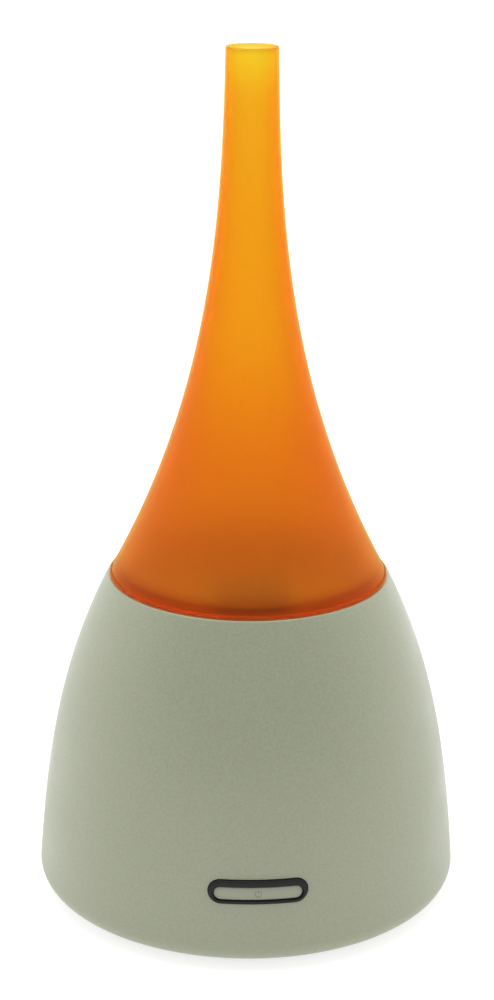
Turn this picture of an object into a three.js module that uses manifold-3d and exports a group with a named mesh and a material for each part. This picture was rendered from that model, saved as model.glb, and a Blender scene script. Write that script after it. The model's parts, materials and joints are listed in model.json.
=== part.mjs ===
// A cool mist humidifier: a bell-shaped base that holds a water bowl over an ultrasonic disc and a
// small fan, and a tall translucent horn that lifts off the bowl and carries the mist upwards.
//
// Millimetres, +Z up. The origin is on the table under the centre of the base. The front, with the
// power button, faces -Y, and the supply socket faces +Y.

import * as THREE from "three";
import { mergeVertices } from "three/addons/utils/BufferGeometryUtils.js";
import Module from "manifold-3d";

const wasm = await Module();
wasm.setup();

// ---------------------------------------------------------------- driving dimensions

const OVERALL_HEIGHT = 240; // table to the mouth of the horn
const RIM_Z = 93.4; // where the horn meets the base
const GAP = 0.3; // between neighbouring pieces

// The base's outer line: a straight draft plus a bulge that dies away downwards.
const SHELL_BOTTOM_Z = 1.5;
const SHELL_TOP_R = 39.6;
const SHELL_DRAFT = 6.9;
const SHELL_BULGE = 14.0;
const SHELL_CURVE = 2.85;
const SHELL_WALL = 2.6; // measured level, so about 2.4 square to the wall
const SHELL_BORE_R = 54.4; // the straight lower bore
const SHELL_FOOT_ROUND = 5.4; // rounding at the bottom edge

// The horn's outer line: a draft along the neck plus a flare towards the rim.
const MOUTH_R = 7.1;
const NECK_DRAFT = 2.6;
const HORN_FLARE = 29.4;
const HORN_CURVE = 2.63;
const HORN_WALL_MOUTH = 1.5;
const HORN_WALL_RIM = 2.3;
const HORN_BEAD = { radius: 39.05, height: 0.8, chamfer: 0.25 }; // the rolled edge of the rim
const HORN_FLOOR_Z = 93.5; // underside of the horn's rim
const HORN_SKIRT_Z = 87.8; // lower edge of the skirt inside the bowl
const HORN_SKIRT_R = 33.5;
const HORN_SKIRT_WALL = 1.8;
const HORN_FLANGE = 1.6;

// The bowl that holds the water.
const BOWL_TOP_Z = 93.1;
const BOWL_TOP_R = 34.0;
const BOWL_FLANGE_R = 37.9;
const BOWL_FLANGE = 1.4;
const LEDGE_Z = 90.5; // the shell's ledge under the bowl's flange
const SHELL_MOUTH_R = 36.6;
const WELL_R = 8.6; // opening over the ultrasonic disc
const SEAL_SEAT_R = 11.9;
const SEAL_SEAT_Z = 45.9;
const BOSS_R = 16.4;
const BOSS_Z = 41.0;
const LEG_CIRCLE_R = 30.6; // the bowl's three legs
const LEG_R = 4.2;
const LEG_Z = 5.3;
const LEG_ANGLES = [0, 90, 180];

// The air channel that stands at the front of the bowl, and the hood on top of it.
const CHANNEL = { halfWidth: 7, front: -26.9, back: -20.4 };
const CHANNEL_WALL = 1.5;
const CHANNEL_TOP_Z = 86;
const COLLAR_Z = 43;
const HOOD_WALL = 1;
const HOOD_TOP_Z = 97.5;
const HOOD_OUTLET_Z = 88;

// Bottom cover.
const COVER_R = 54.1;
const COVER_TOP_Z = 3.9;
const FOOT_CIRCLE_R = 45;
const FOOT_R = 5.5;
const FOOT_ANGLES = [45, 135, 225, 315];

// Power button on the front, with its black bezel.
const BUTTON_Z = 23;
const BEZEL = { width: 26.8, height: 6.5, proud: 0.8 };
const KEY = { width: 24, height: 3.5, proud: 0.3 };
const KEY_Z = BUTTON_Z - 0.45; // the key sits low in its bezel
const KEY_GAP = 0.2;
const BEZEL_BACK_Y = -51;
const KEY_FLANGE = 1.2;
const SWITCH = { side: 6, front: -48.2, back: -44.9, plungerR: 1.75 };
const BOARD = 1.6; // thickness of the circuit boards

// Fan: a square axial fan that blows upwards.
const FAN = { x: 0, y: -21, z: 8, side: 40, height: 10, boreR: 18.9, holeAt: 16 };
const DUCT_SLEEVE_Z = 40;
const DUCT_TOP_Z = 48.3;
const DUCT_WALL = 1.5;

// Main board, behind the fan.
const MAIN_Z = 12;
const MAIN_R = 50;
const MAIN_HALF_WIDTH = 34;
const MAIN_FRONT_Y = 6;
const MAIN_POSTS = [[-29, 33], [29, 33], [28, 9.5]];
const JACK = { z: 19.3, front: 54.1, back: 40.5, noseR: 4.2, boreR: 3.15, holeR: 5.5 };

// Light under the bowl's floor.
const LAMP = { x: 18, y: 16 };
const LAMP_POSTS = [[7, 4], [7, -2.6]]; // from the lamp's axis

const ROUND = 32; // facets round a large turned piece
const SMALL_ROUND = 12; // facets round a screw, post or pin
const TINY_ROUND = 8; // facets round a pilot hole

// ---------------------------------------------------------------- outlines

function shellRadius(z) {
  const down = (RIM_Z - z) / (RIM_Z - SHELL_BOTTOM_Z);
  return SHELL_TOP_R + SHELL_DRAFT * down + SHELL_BULGE * (1 - (1 - down) ** SHELL_CURVE);
}

function hornRadius(z) {
  const down = (OVERALL_HEIGHT - z) / (OVERALL_HEIGHT - RIM_Z);
  return MOUTH_R + NECK_DRAFT * down + HORN_FLARE * down ** HORN_CURVE;
}

function hornWall(z) {
  const down = (OVERALL_HEIGHT - z) / (OVERALL_HEIGHT - RIM_Z);
  return HORN_WALL_MOUTH + (HORN_WALL_RIM - HORN_WALL_MOUTH) * down;
}

// Heights from low to high in equal steps, both ends included.
function steps(low, high, count) {
  return Array.from({ length: count + 1 }, (_, i) => low + ((high - low) * i) / count);
}

// Points on an arc in the radius-height plane, angles in degrees from the outward direction.
function arc(radius, height, size, fromDegrees, toDegrees, count = 5) {
  return steps(fromDegrees, toDegrees, count).map((degrees) => {
    const a = THREE.MathUtils.degToRad(degrees);
    return [radius + size * Math.cos(a), height + size * Math.sin(a)];
  });
}

// ---------------------------------------------------------------- solids

function solidOf(geometry) {
  const plain = geometry.index ? geometry.toNonIndexed() : geometry.clone();
  plain.deleteAttribute("normal");
  plain.deleteAttribute("uv");
  const merged = mergeVertices(plain, 1e-4);
  return new wasm.Manifold(
    new wasm.Mesh({
      numProp: 3,
      vertProperties: new Float32Array(merged.attributes.position.array),
      triVerts: new Uint32Array(merged.index.array),
    }),
  );
}

function geometryOf(solid) {
  const mesh = solid.getMesh();
  const geometry = new THREE.BufferGeometry();
  geometry.setAttribute("position", new THREE.BufferAttribute(mesh.vertProperties, 3));
  geometry.setIndex(new THREE.BufferAttribute(mesh.triVerts, 1));
  geometry.computeVertexNormals();
  return geometry;
}

// A closed outline of [radius, height] pairs turned about Z. It runs anticlockwise.
function turned(outline, facets = ROUND) {
  const area = outline.reduce((sum, [r, z], i) => {
    const [nextR, nextZ] = outline[(i + 1) % outline.length];
    return sum + r * nextZ - nextR * z;
  }, 0);
  const points = area > 0 ? [...outline] : [...outline].reverse();
  points.push(points[0]);
  const geometry = new THREE.LatheGeometry(points.map(([r, z]) => new THREE.Vector2(r, z)), facets);
  return solidOf(geometry.rotateX(Math.PI / 2));
}

function disc(radius, low, high, x = 0, y = 0, facets = SMALL_ROUND) {
  const geometry = new THREE.CylinderGeometry(radius, radius, high - low, facets);
  return solidOf(geometry.rotateX(Math.PI / 2).translate(x, y, (low + high) / 2));
}

// A cylinder along Y.
function plug(radius, front, back, x, z, facets = SMALL_ROUND) {
  const geometry = new THREE.CylinderGeometry(radius, radius, back - front, facets);
  return solidOf(geometry.translate(x, (front + back) / 2, z));
}

function ring(outer, inner, low, high, facets = ROUND) {
  return turned([[inner, low], [outer, low], [outer, high], [inner, high]], facets);
}

function block([x0, x1], [y0, y1], [z0, z1]) {
  const geometry = new THREE.BoxGeometry(x1 - x0, y1 - y0, z1 - z0);
  return solidOf(geometry.translate((x0 + x1) / 2, (y0 + y1) / 2, (z0 + z1) / 2));
}

function roundedRectangle(width, depth, radius) {
  const [x, y] = [width / 2, depth / 2];
  const shape = new THREE.Shape();
  shape.absarc(x - radius, y - radius, radius, 0, Math.PI / 2);
  shape.absarc(radius - x, y - radius, radius, Math.PI / 2, Math.PI);
  shape.absarc(radius - x, radius - y, radius, Math.PI, Math.PI * 1.5);
  shape.absarc(x - radius, radius - y, radius, Math.PI * 1.5, Math.PI * 2);
  return shape;
}

function prism(shape, low, high, x = 0, y = 0, curveSegments = 5) {
  const geometry = new THREE.ExtrudeGeometry(shape, {
    depth: high - low,
    bevelEnabled: false,
    curveSegments,
  });
  return solidOf(geometry.translate(x, y, low));
}

// A pill-shaped bar along Y.
function pill(width, height, front, back, z = BUTTON_Z) {
  const bar = prism(roundedRectangle(width, height, height / 2 - 0.01), 0, back - front);
  return solidOf(geometryOf(bar).rotateX(Math.PI / 2).translate(0, back, z));
}

// A closed body through rings that have the same number of points, listed anticlockwise from above.
function loft(rings) {
  const count = rings[0].length;
  const indices = [];
  for (let level = 0; level + 1 < rings.length; level++)
    for (let i = 0; i < count; i++) {
      const [a, b] = [level * count + i, level * count + ((i + 1) % count)];
      indices.push(a, b, b + count, a, b + count, a + count);
    }
  const top = (rings.length - 1) * count;
  for (let i = 1; i + 1 < count; i++) indices.push(0, i + 1, i, top, top + i, top + i + 1);
  const geometry = new THREE.BufferGeometry();
  geometry.setAttribute("position", new THREE.Float32BufferAttribute(rings.flat(2), 3));
  geometry.setIndex(indices);
  return solidOf(geometry);
}

function rectangleRing([x0, x1], [y0, y1], z) {
  return [[x0, y0, z], [x1, y0, z], [x1, y1, z], [x0, y1, z]];
}

// A round lead along a smooth curve through the points.
function lead(points, radius = 0.9) {
  const path = new THREE.CatmullRomCurve3(points.map((p) => new THREE.Vector3(...p)));
  const section = new THREE.Shape().absarc(0, 0, radius, 0, Math.PI * 2);
  return solidOf(
    new THREE.ExtrudeGeometry(section, { steps: 14, extrudePath: path, curveSegments: 3 }),
  );
}

function atAngle(radius, degrees) {
  const a = THREE.MathUtils.degToRad(degrees);
  return [radius * Math.cos(a), radius * Math.sin(a)];
}

function join(solids) {
  return solids.reduce((whole, piece) => whole.add(piece));
}

function cut(solid, tools) {
  return tools.reduce((rest, tool) => rest.subtract(tool), solid);
}

// ---------------------------------------------------------------- materials

function material(color, roughness, metalness = 0, opacity = 1) {
  return new THREE.MeshStandardMaterial({
    color,
    roughness,
    metalness,
    opacity,
    transparent: opacity < 1,
  });
}

const MATERIALS = {
  amber: material(0xf28a1c, 0.35, 0, 0.85),
  sage: material(0x9aa088, 0.45),
  black: material(0x16181a, 0.3),
  darkPlastic: material(0x2c2e2e, 0.5),
  bowlPlastic: material(0x8d927e, 0.4),
  clear: material(0xe8eef0, 0.1, 0, 0.4),
  silicone: material(0xd9dad4, 0.6),
  rubber: material(0x1e1e1e, 0.8),
  steel: material(0xb8bcc0, 0.3, 1),
  brass: material(0xc9a45a, 0.35, 1),
  ceramic: material(0xcfd2cf, 0.3, 0.6),
  ferrite: material(0x2d2c30, 0.6, 0.2),
  copper: material(0xb4673a, 0.35, 1),
  aluminium: material(0xa9adb0, 0.4, 1),
  board: material(0x1f5a34, 0.45),
  connector: material(0xe9e6da, 0.5),
  wire: material(0x8f1d1a, 0.5),
};

const humidifier = new THREE.Group();

// Adds a solid to a group as a named mesh, and returns the mesh so that it can be placed.
function add(group, name, solid, materialName) {
  const mesh = new THREE.Mesh(geometryOf(solid), MATERIALS[materialName]);
  mesh.name = name;
  group.add(mesh);
  return mesh;
}

function subgroup(parent, x = 0, y = 0, z = 0) {
  const group = new THREE.Group();
  group.position.set(x, y, z);
  parent.add(group);
  return group;
}

// ---------------------------------------------------------------- horn

function makeHorn() {
  const { radius: beadR, chamfer } = HORN_BEAD;
  const beadTop = HORN_FLOOR_Z + HORN_BEAD.height;
  const flangeTop = HORN_FLOOR_Z + HORN_FLANGE;
  const heights = steps(beadTop + chamfer, OVERALL_HEIGHT - 0.5, 12);
  const insideHeights = steps(flangeTop, OVERALL_HEIGHT - 0.3, 9);
  const outline = [
    [HORN_SKIRT_R - HORN_SKIRT_WALL, HORN_SKIRT_Z],
    [HORN_SKIRT_R, HORN_SKIRT_Z],
    [HORN_SKIRT_R, HORN_FLOOR_Z],
    [beadR - chamfer, HORN_FLOOR_Z],
    [beadR, HORN_FLOOR_Z + chamfer],
    [beadR, beadTop - chamfer],
    ...heights.map((z) => [hornRadius(z), z]),
    [MOUTH_R - 0.4, OVERALL_HEIGHT],
    [MOUTH_R - HORN_WALL_MOUTH + 0.3, OVERALL_HEIGHT],
    ...insideHeights.reverse().map((z) => [hornRadius(z) - hornWall(z), z]),
    [HORN_SKIRT_R - HORN_SKIRT_WALL, flangeTop],
  ];
  return turned(outline);
}

// ---------------------------------------------------------------- shell, bowl and cover

// The space inside the shell's outer surface, moved outwards by a distance.
function shellSpace(outwards, low, high) {
  const heights = steps(low, high, 4);
  return turned([[0, low], ...heights.map((z) => [shellRadius(z) + outwards, z]), [0, high]]);
}

function makeShell() {
  const roundZ = SHELL_BOTTOM_Z + SHELL_FOOT_ROUND;
  const roundR = shellRadius(roundZ) - SHELL_FOOT_ROUND;
  const shoulderZ = 87.9;
  const lipZ = 93.2;
  const outline = [
    [SHELL_BORE_R, SHELL_BOTTOM_Z],
    ...arc(roundR, roundZ, SHELL_FOOT_ROUND, -90, 0, 4),
    ...steps(12, lipZ - 0.5, 9).map((z) => [shellRadius(z), z]),
    [SHELL_TOP_R - 0.2, lipZ],
    [BOWL_FLANGE_R + GAP, lipZ],
    [BOWL_FLANGE_R + GAP, LEDGE_Z],
    [SHELL_MOUTH_R, LEDGE_Z],
    [SHELL_MOUTH_R, shoulderZ],
    ...steps(38, shoulderZ, 5).reverse().map((z) => [
      Math.min(shellRadius(z) - SHELL_WALL, SHELL_BORE_R),
      z,
    ]),
  ];
  const tabs = FOOT_ANGLES.map((degrees) => {
    const tab = new THREE.BoxGeometry(3.4, 8, 8);
    tab.translate(SHELL_BORE_R - 1.2, 0, COVER_TOP_Z + GAP + 4);
    return solidOf(tab.rotateZ(THREE.MathUtils.degToRad(degrees)));
  });
  const window = pill(BEZEL.width + 2 * KEY_GAP, BEZEL.height + 2 * KEY_GAP, -70, -45);
  const socketHole = plug(JACK.holeR, 50, 70, 0, JACK.z, 16);
  return cut(join([turned(outline), ...tabs]), [window, socketHole]);
}

function channelBlock(grow, low, high) {
  return block(
    [-CHANNEL.halfWidth - grow, CHANNEL.halfWidth + grow],
    [CHANNEL.front - grow, CHANNEL.back + grow],
    [low, high],
  );
}

function makeBowl() {
  const outside = [
    [0, BOWL_TOP_Z],
    [0, BOSS_Z],
    [BOSS_R, BOSS_Z],
    [BOSS_R, 48.8],
    [30, 52],
    [34.9, 56.4],
    [35.8, BOWL_TOP_Z - BOWL_FLANGE],
    [BOWL_FLANGE_R, BOWL_TOP_Z - BOWL_FLANGE],
    [BOWL_FLANGE_R, BOWL_TOP_Z],
  ];
  const inside = [
    [0, BOWL_TOP_Z + 1],
    [0, SEAL_SEAT_Z - 1],
    [WELL_R, SEAL_SEAT_Z - 1],
    [WELL_R, 48.2],
    [WELL_R + 1.4, 49],
    [28.5, 53.2],
    [31.6, 54.9],
    [32.7, 58],
    [BOWL_TOP_R, BOWL_TOP_Z - 1],
    [BOWL_TOP_R, BOWL_TOP_Z + 1],
  ];
  const legs = LEG_ANGLES.map((degrees) => disc(LEG_R, LEG_Z, 58, ...atAngle(LEG_CIRCLE_R, degrees)));
  const pilots = LEG_ANGLES.map((degrees) =>
    disc(1.6, LEG_Z - 1, LEG_Z + 14, ...atAngle(LEG_CIRCLE_R, degrees), TINY_ROUND),
  );
  const lampBoss = disc(6.4, 46.4, 51.2, LAMP.x, LAMP.y);
  const lampPosts = LAMP_POSTS.map(([x, y]) =>
    disc(1.5, 41.8, 56, LAMP.x + x, LAMP.y + y, TINY_ROUND),
  );
  const clampPilots = CLAMP_ANGLES.map((degrees) =>
    disc(1.15, BOSS_Z - 1, BOSS_Z + 5.5, ...atAngle(CLAMP_CIRCLE_R, degrees), TINY_ROUND),
  );
  const body = cut(join([turned(outside), ...legs, lampBoss, ...lampPosts]), [turned(inside)]);
  return cut(body.add(channelBlock(CHANNEL_WALL, COLLAR_Z, CHANNEL_TOP_Z)), [
    channelBlock(0, COLLAR_Z - 1, CHANNEL_TOP_Z + 1),
    disc(SEAL_SEAT_R, BOSS_Z - 1, SEAL_SEAT_Z, 0, 0, 24),
    disc(4.2, 46, 54, LAMP.x, LAMP.y),
    ...pilots,
    ...clampPilots,
  ]);
}

// A hood over the air channel: it keeps splashes out and turns the air towards the middle.
function makeHood() {
  const low = CHANNEL_TOP_Z - 6;
  const roof = HOOD_TOP_Z - 1.2;
  const outer = prism(
    roundedRectangle(
      2 * (CHANNEL.halfWidth + CHANNEL_WALL + GAP + HOOD_WALL),
      CHANNEL.back - CHANNEL.front + 2 * (CHANNEL_WALL + GAP + HOOD_WALL),
      2,
    ),
    low,
    HOOD_TOP_Z,
    0,
    (CHANNEL.front + CHANNEL.back) / 2,
    3,
  );
  const socket = channelBlock(CHANNEL_WALL + GAP, low - 1, CHANNEL_TOP_Z + GAP);
  const passage = channelBlock(0, CHANNEL_TOP_Z - 1, roof);
  const sides = [-CHANNEL.halfWidth, CHANNEL.halfWidth];
  const outlet = block(sides, [CHANNEL.back - 2, CHANNEL.back + 6], [HOOD_OUTLET_Z, roof]);
  return cut(outer, [socket, passage, outlet]);
}

function makeCover() {
  const plate = disc(COVER_R, SHELL_BOTTOM_Z, COVER_TOP_Z, 0, 0, ROUND);
  const seats = LEG_ANGLES.map((degrees) =>
    disc(6.2, COVER_TOP_Z - 1, LEG_Z - GAP, ...atAngle(LEG_CIRCLE_R, degrees)),
  );
  const mainPosts = MAIN_POSTS.map(([x, y]) => disc(3, COVER_TOP_Z - 1, MAIN_Z - 0.1, x, y));
  const fanPosts = FAN_CORNERS.map(([x, y]) => disc(3.2, COVER_TOP_Z - 1, FAN.z - 0.1, x, y));
  const guides = [-1, 1].map((side) => {
    const across = side < 0 ? [-19.4, -15.6] : [15.6, 19.4];
    const depth = [SWITCH.back - 1.5, SWITCH.back + BOARD + 1.5];
    const post = block(across, depth, [COVER_TOP_Z - 1, 24]);
    const inner = side < 0 ? [-17.3, -15] : [15, 17.3];
    const slot = block(inner, [SWITCH.back - GAP, SWITCH.back + BOARD + GAP], [11.7, 25]);
    return post.subtract(slot);
  });
  const legHoles = LEG_ANGLES.map((degrees) =>
    disc(1.7, 0, 8, ...atAngle(LEG_CIRCLE_R, degrees), TINY_ROUND),
  );
  const counterbores = LEG_ANGLES.map((degrees) =>
    disc(3.4, 0, 3.7, ...atAngle(LEG_CIRCLE_R, degrees)),
  );
  const footSeats = FOOT_ANGLES.map((degrees) =>
    disc(FOOT_R + 0.3, 0, SHELL_BOTTOM_Z + 0.8, ...atAngle(FOOT_CIRCLE_R, degrees), 16),
  );
  const postPilots = [...MAIN_POSTS, ...FAN_CORNERS].map(([x, y]) =>
    disc(1.55, COVER_TOP_Z - 0.6, MAIN_Z + 1, x, y, TINY_ROUND),
  );
  return cut(join([plate, ...seats, ...mainPosts, ...fanPosts, ...guides]), [
    ...legHoles,
    ...counterbores,
    ...footSeats,
    ...postPilots,
    ...intakeSlots(),
  ]);
}

// Rows of slots: a round intake grille under the fan and a short row under the main board.
function intakeSlots() {
  const slot = (x, y, length) =>
    prism(roundedRectangle(2.2, length, 1.09), 0, COVER_TOP_Z + 1, x, y, 2);
  const grille = steps(-15, 15, 6).map((x) =>
    slot(FAN.x + x, FAN.y, 2 * Math.sqrt(17.5 ** 2 - x ** 2)),
  );
  const vents = steps(-10, 10, 4).map((x) => slot(x, 17, 12));
  return [...grille, ...vents];
}

// ---------------------------------------------------------------- screws

// A cross-head screw along Z, with its head's underside at the origin and its shank upwards.
function makeScrew(headR, headHeight, shankR, length) {
  const head = disc(headR, -headHeight, 0);
  const shank = disc(shankR, -0.5, length, 0, 0, TINY_ROUND);
  const arm = [-headR * 0.62, headR * 0.62];
  const slot = [-headR * 0.14, headR * 0.14];
  const depth = [-headHeight - 1, -headHeight * 0.35];
  return cut(head.add(shank), [block(arm, slot, depth), block(slot, arm, depth)]);
}

// The same screw pointing down.
function makeScrewDown(...sizes) {
  return solidOf(geometryOf(makeScrew(...sizes)).rotateX(Math.PI));
}

function addScrews(group, name, places, z, solid) {
  places.forEach(([x, y], i) => {
    add(group, `${name}_${i + 1}`, solid, "steel").position.set(x, y, z);
  });
}

// ---------------------------------------------------------------- ultrasonic disc

const CLAMP_CIRCLE_R = 14.4;
const CLAMP_ANGLES = [90, 210, 330];
const CLAMP_TOP_Z = 40.8;

function addTransducer(group) {
  const disk = { low: 43.5, high: 44.7, radius: 10 };
  add(group, "transducer_disc", disc(disk.radius, disk.low, disk.high, 0, 0, 24), "ceramic");
  const seal = turned(
    [
      [8.8, 42.3],
      [11.6, 42.3],
      [11.6, 45.7],
      [8.8, 45.7],
      [8.8, disk.high + 0.1],
      [disk.radius + 0.2, disk.high + 0.1],
      [disk.radius + 0.2, disk.low - 0.1],
      [8.8, disk.low - 0.1],
    ],
    24,
  );
  add(group, "transducer_seal", seal, "silicone");
  const holes = CLAMP_ANGLES.map((degrees) =>
    disc(1.3, 38, 42, ...atAngle(CLAMP_CIRCLE_R, degrees), TINY_ROUND),
  );
  const plate = ring(15.9, 7, CLAMP_TOP_Z - 1.5, CLAMP_TOP_Z, 24);
  const press = ring(11.4, 8.9, CLAMP_TOP_Z - 0.5, 42.2, 24);
  add(group, "transducer_clamp", cut(plate.add(press), holes), "darkPlastic");
  const places = CLAMP_ANGLES.map((degrees) => atAngle(CLAMP_CIRCLE_R, degrees));
  addScrews(group, "transducer_screw", places, CLAMP_TOP_Z - 1.6, makeScrew(2, 1.3, 0.95, 6));
}

// ---------------------------------------------------------------- light under the bowl

function addLamp(group) {
  const window = disc(4, 46.2, 52.2).add(disc(5.6, 45, 46.3));
  add(group, "light_window", window, "clear");
  add(group, "led_board", block([-5, 9.5], [-4.4, 6.2], [40.4, 41.7]), "board");
  const lamp = turned(
    [[0, 41.8], [2.8, 41.8], [2.8, 42.4], [2.4, 42.4], ...arc(0, 42.4, 2.4, 0, 90, 3)],
    12,
  );
  add(group, "led_lamp", lamp, "clear");
}

// ---------------------------------------------------------------- fan

const FAN_CORNERS = [[-1, -1], [1, -1], [1, 1], [-1, 1]].map(([sideX, sideY]) => [
  FAN.x + sideX * FAN.holeAt,
  FAN.y + sideY * FAN.holeAt,
]);

// Built about the fan's own axis, with its underside at zero.
function addFan(group) {
  const body = prism(roundedRectangle(FAN.side, FAN.side, 3.5), 0, FAN.height, 0, 0, 3);
  const holes = FAN_CORNERS.map(([x, y]) =>
    disc(1.7, -1, 11, x - FAN.x, y - FAN.y, TINY_ROUND),
  );
  const hub = disc(9, 0, 1.2, 0, 0, 16);
  const struts = [30, 150, 270].map((degrees) => {
    const bar = new THREE.BoxGeometry(20, 2.4, 1.2).translate(10, 0, 0.6);
    return solidOf(bar.rotateZ(THREE.MathUtils.degToRad(degrees)));
  });
  const bearingTube = disc(2.9, 0, 6.6);
  const frame = cut(body, [disc(FAN.boreR, -1, 11, 0, 0, ROUND)]);
  add(
    group,
    "fan_frame",
    cut(join([frame, hub, ...struts, bearingTube]), [...holes, disc(2.25, 0.8, 8)]),
    "darkPlastic",
  );
  add(group, "fan_bearing", ring(2.15, 1.15, 0.9, 6.5, 12), "brass");
  const poles = [0, 90].map((degrees) => {
    const bar = new THREE.BoxGeometry(13, 3.6, 3).translate(0, 0, 3.4);
    return solidOf(bar.rotateZ(THREE.MathUtils.degToRad(degrees)));
  });
  const stator = cut(join([disc(5, 1.4, 5.4), ...poles]), [disc(3.2, 1, 6)]);
  add(group, "fan_stator", stator, "copper");
  add(group, "fan_shaft", disc(1, 1, 8.2), "steel");
  add(group, "fan_magnet", ring(8.1, 7, 1.7, 7.6, 20), "ferrite");
  add(group, "fan_impeller", makeImpeller(), "black");
}

function makeImpeller() {
  const hubR = 9.6;
  const cup = turned(
    [
      [0, 9.4],
      [0, 8.3],
      [1.2, 8.3],
      [1.2, 7.9],
      [8.4, 7.9],
      [8.4, 1.6],
      [hubR, 1.6],
      [hubR, 8.8],
      [9, 9.4],
    ],
    20,
  );
  const tipR = FAN.boreR - 0.7;
  const blades = steps(0, 360 - 360 / 7, 6).map((degrees) => {
    const section = (radius, pitch, y) => {
      const lean = THREE.MathUtils.degToRad(pitch);
      const corners = [[-4.6, -0.5], [4.6, -0.5], [4.6, 0.5], [-4.6, 0.5]];
      return corners.map(([along, across]) => [
        along * Math.sin(lean) + across * Math.cos(lean) + y,
        -radius,
        5.4 + along * Math.cos(lean) - across * Math.sin(lean),
      ]);
    };
    const blade = loft([section(tipR - 0.6, 52, 1.5), section(hubR - 0.7, 38, 0)]);
    return solidOf(geometryOf(blade).rotateZ(THREE.MathUtils.degToRad(degrees)));
  });
  return join([cup, ...blades]);
}

// ---------------------------------------------------------------- air duct

function makeDuct() {
  const flangeLow = FAN.z + FAN.height + 0.1;
  const flangeHigh = flangeLow + 1.5;
  const reach = FAN.side / 2;
  const sleeve = (grow) => [
    [-CHANNEL.halfWidth - grow, CHANNEL.halfWidth + grow],
    [CHANNEL.front - grow, CHANNEL.back + grow],
  ];
  const throat = (inset) => [
    [FAN.x - reach + inset, FAN.x + reach - inset],
    [FAN.y - reach + inset, FAN.y + reach - inset],
  ];
  const inner = CHANNEL_WALL + GAP;
  const outside = loft([
    rectangleRing(...throat(6), flangeLow),
    rectangleRing(...throat(6), flangeHigh + 5),
    rectangleRing(...sleeve(inner + DUCT_WALL), DUCT_SLEEVE_Z),
    rectangleRing(...sleeve(inner + DUCT_WALL), DUCT_TOP_Z),
  ]);
  const inside = loft([
    rectangleRing(...throat(6 + DUCT_WALL), flangeLow - 1),
    rectangleRing(...throat(6 + DUCT_WALL), flangeHigh + 5),
    rectangleRing(...sleeve(inner), DUCT_SLEEVE_Z),
    rectangleRing(...sleeve(inner), DUCT_TOP_Z + 1),
  ]);
  const flange = prism(
    roundedRectangle(FAN.side, FAN.side, 3.5),
    flangeLow,
    flangeHigh,
    FAN.x,
    FAN.y,
    3,
  );
  const holes = FAN_CORNERS.map(([x, y]) =>
    disc(1.7, flangeLow - 1, flangeHigh + 1, x, y, TINY_ROUND),
  );
  return cut(flange.add(outside), [inside, ...holes]);
}

// ---------------------------------------------------------------- power button

function addButton(group) {
  const opening = pill(KEY.width + 2 * KEY_GAP, KEY.height + 2 * KEY_GAP, -70, -40, KEY_Z);
  const throughWall = pill(BEZEL.width, BEZEL.height, -64, BEZEL_BACK_Y).intersect(
    shellSpace(BEZEL.proud, 10, 34),
  );
  const backFlange = pill(BEZEL.width + 3.4, BEZEL.height + 3.4, -60, BEZEL_BACK_Y).intersect(
    disc(SHELL_BORE_R - GAP, 10, 34, 0, 0, ROUND),
  );
  add(group, "button_bezel", throughWall.add(backFlange).subtract(opening), "black");

  const keyBack = BEZEL_BACK_Y + GAP;
  const key = pill(KEY.width, KEY.height, -64, keyBack + 0.1, KEY_Z).intersect(
    shellSpace(KEY.proud, 10, 34),
  );
  const flange = [KEY.width + 2.4, KEY.height + 2.4];
  const keyFlange = pill(...flange, keyBack, keyBack + KEY_FLANGE, KEY_Z);
  add(group, "power_button", key.add(keyFlange), "sage");

  const plungerFront = keyBack + KEY_FLANGE + KEY_GAP;
  const plunger = plug(SWITCH.plungerR, plungerFront, SWITCH.front + 0.8, 0, BUTTON_Z);
  add(group, "switch_plunger", plunger, "black");
  const half = SWITCH.side / 2;
  const body = block(
    [-half, half],
    [SWITCH.front, SWITCH.back - 0.05],
    [BUTTON_Z - half, BUTTON_Z + half],
  );
  const cavity = plug(SWITCH.plungerR + 0.2, SWITCH.front - 1, SWITCH.front + 1.9, 0, BUTTON_Z);
  add(group, "tact_switch", body.subtract(cavity), "steel");
  const board = block([-17, 17], [SWITCH.back, SWITCH.back + BOARD], [12, 33]);
  add(group, "button_board", board, "board");
}

// ---------------------------------------------------------------- main board

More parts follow.
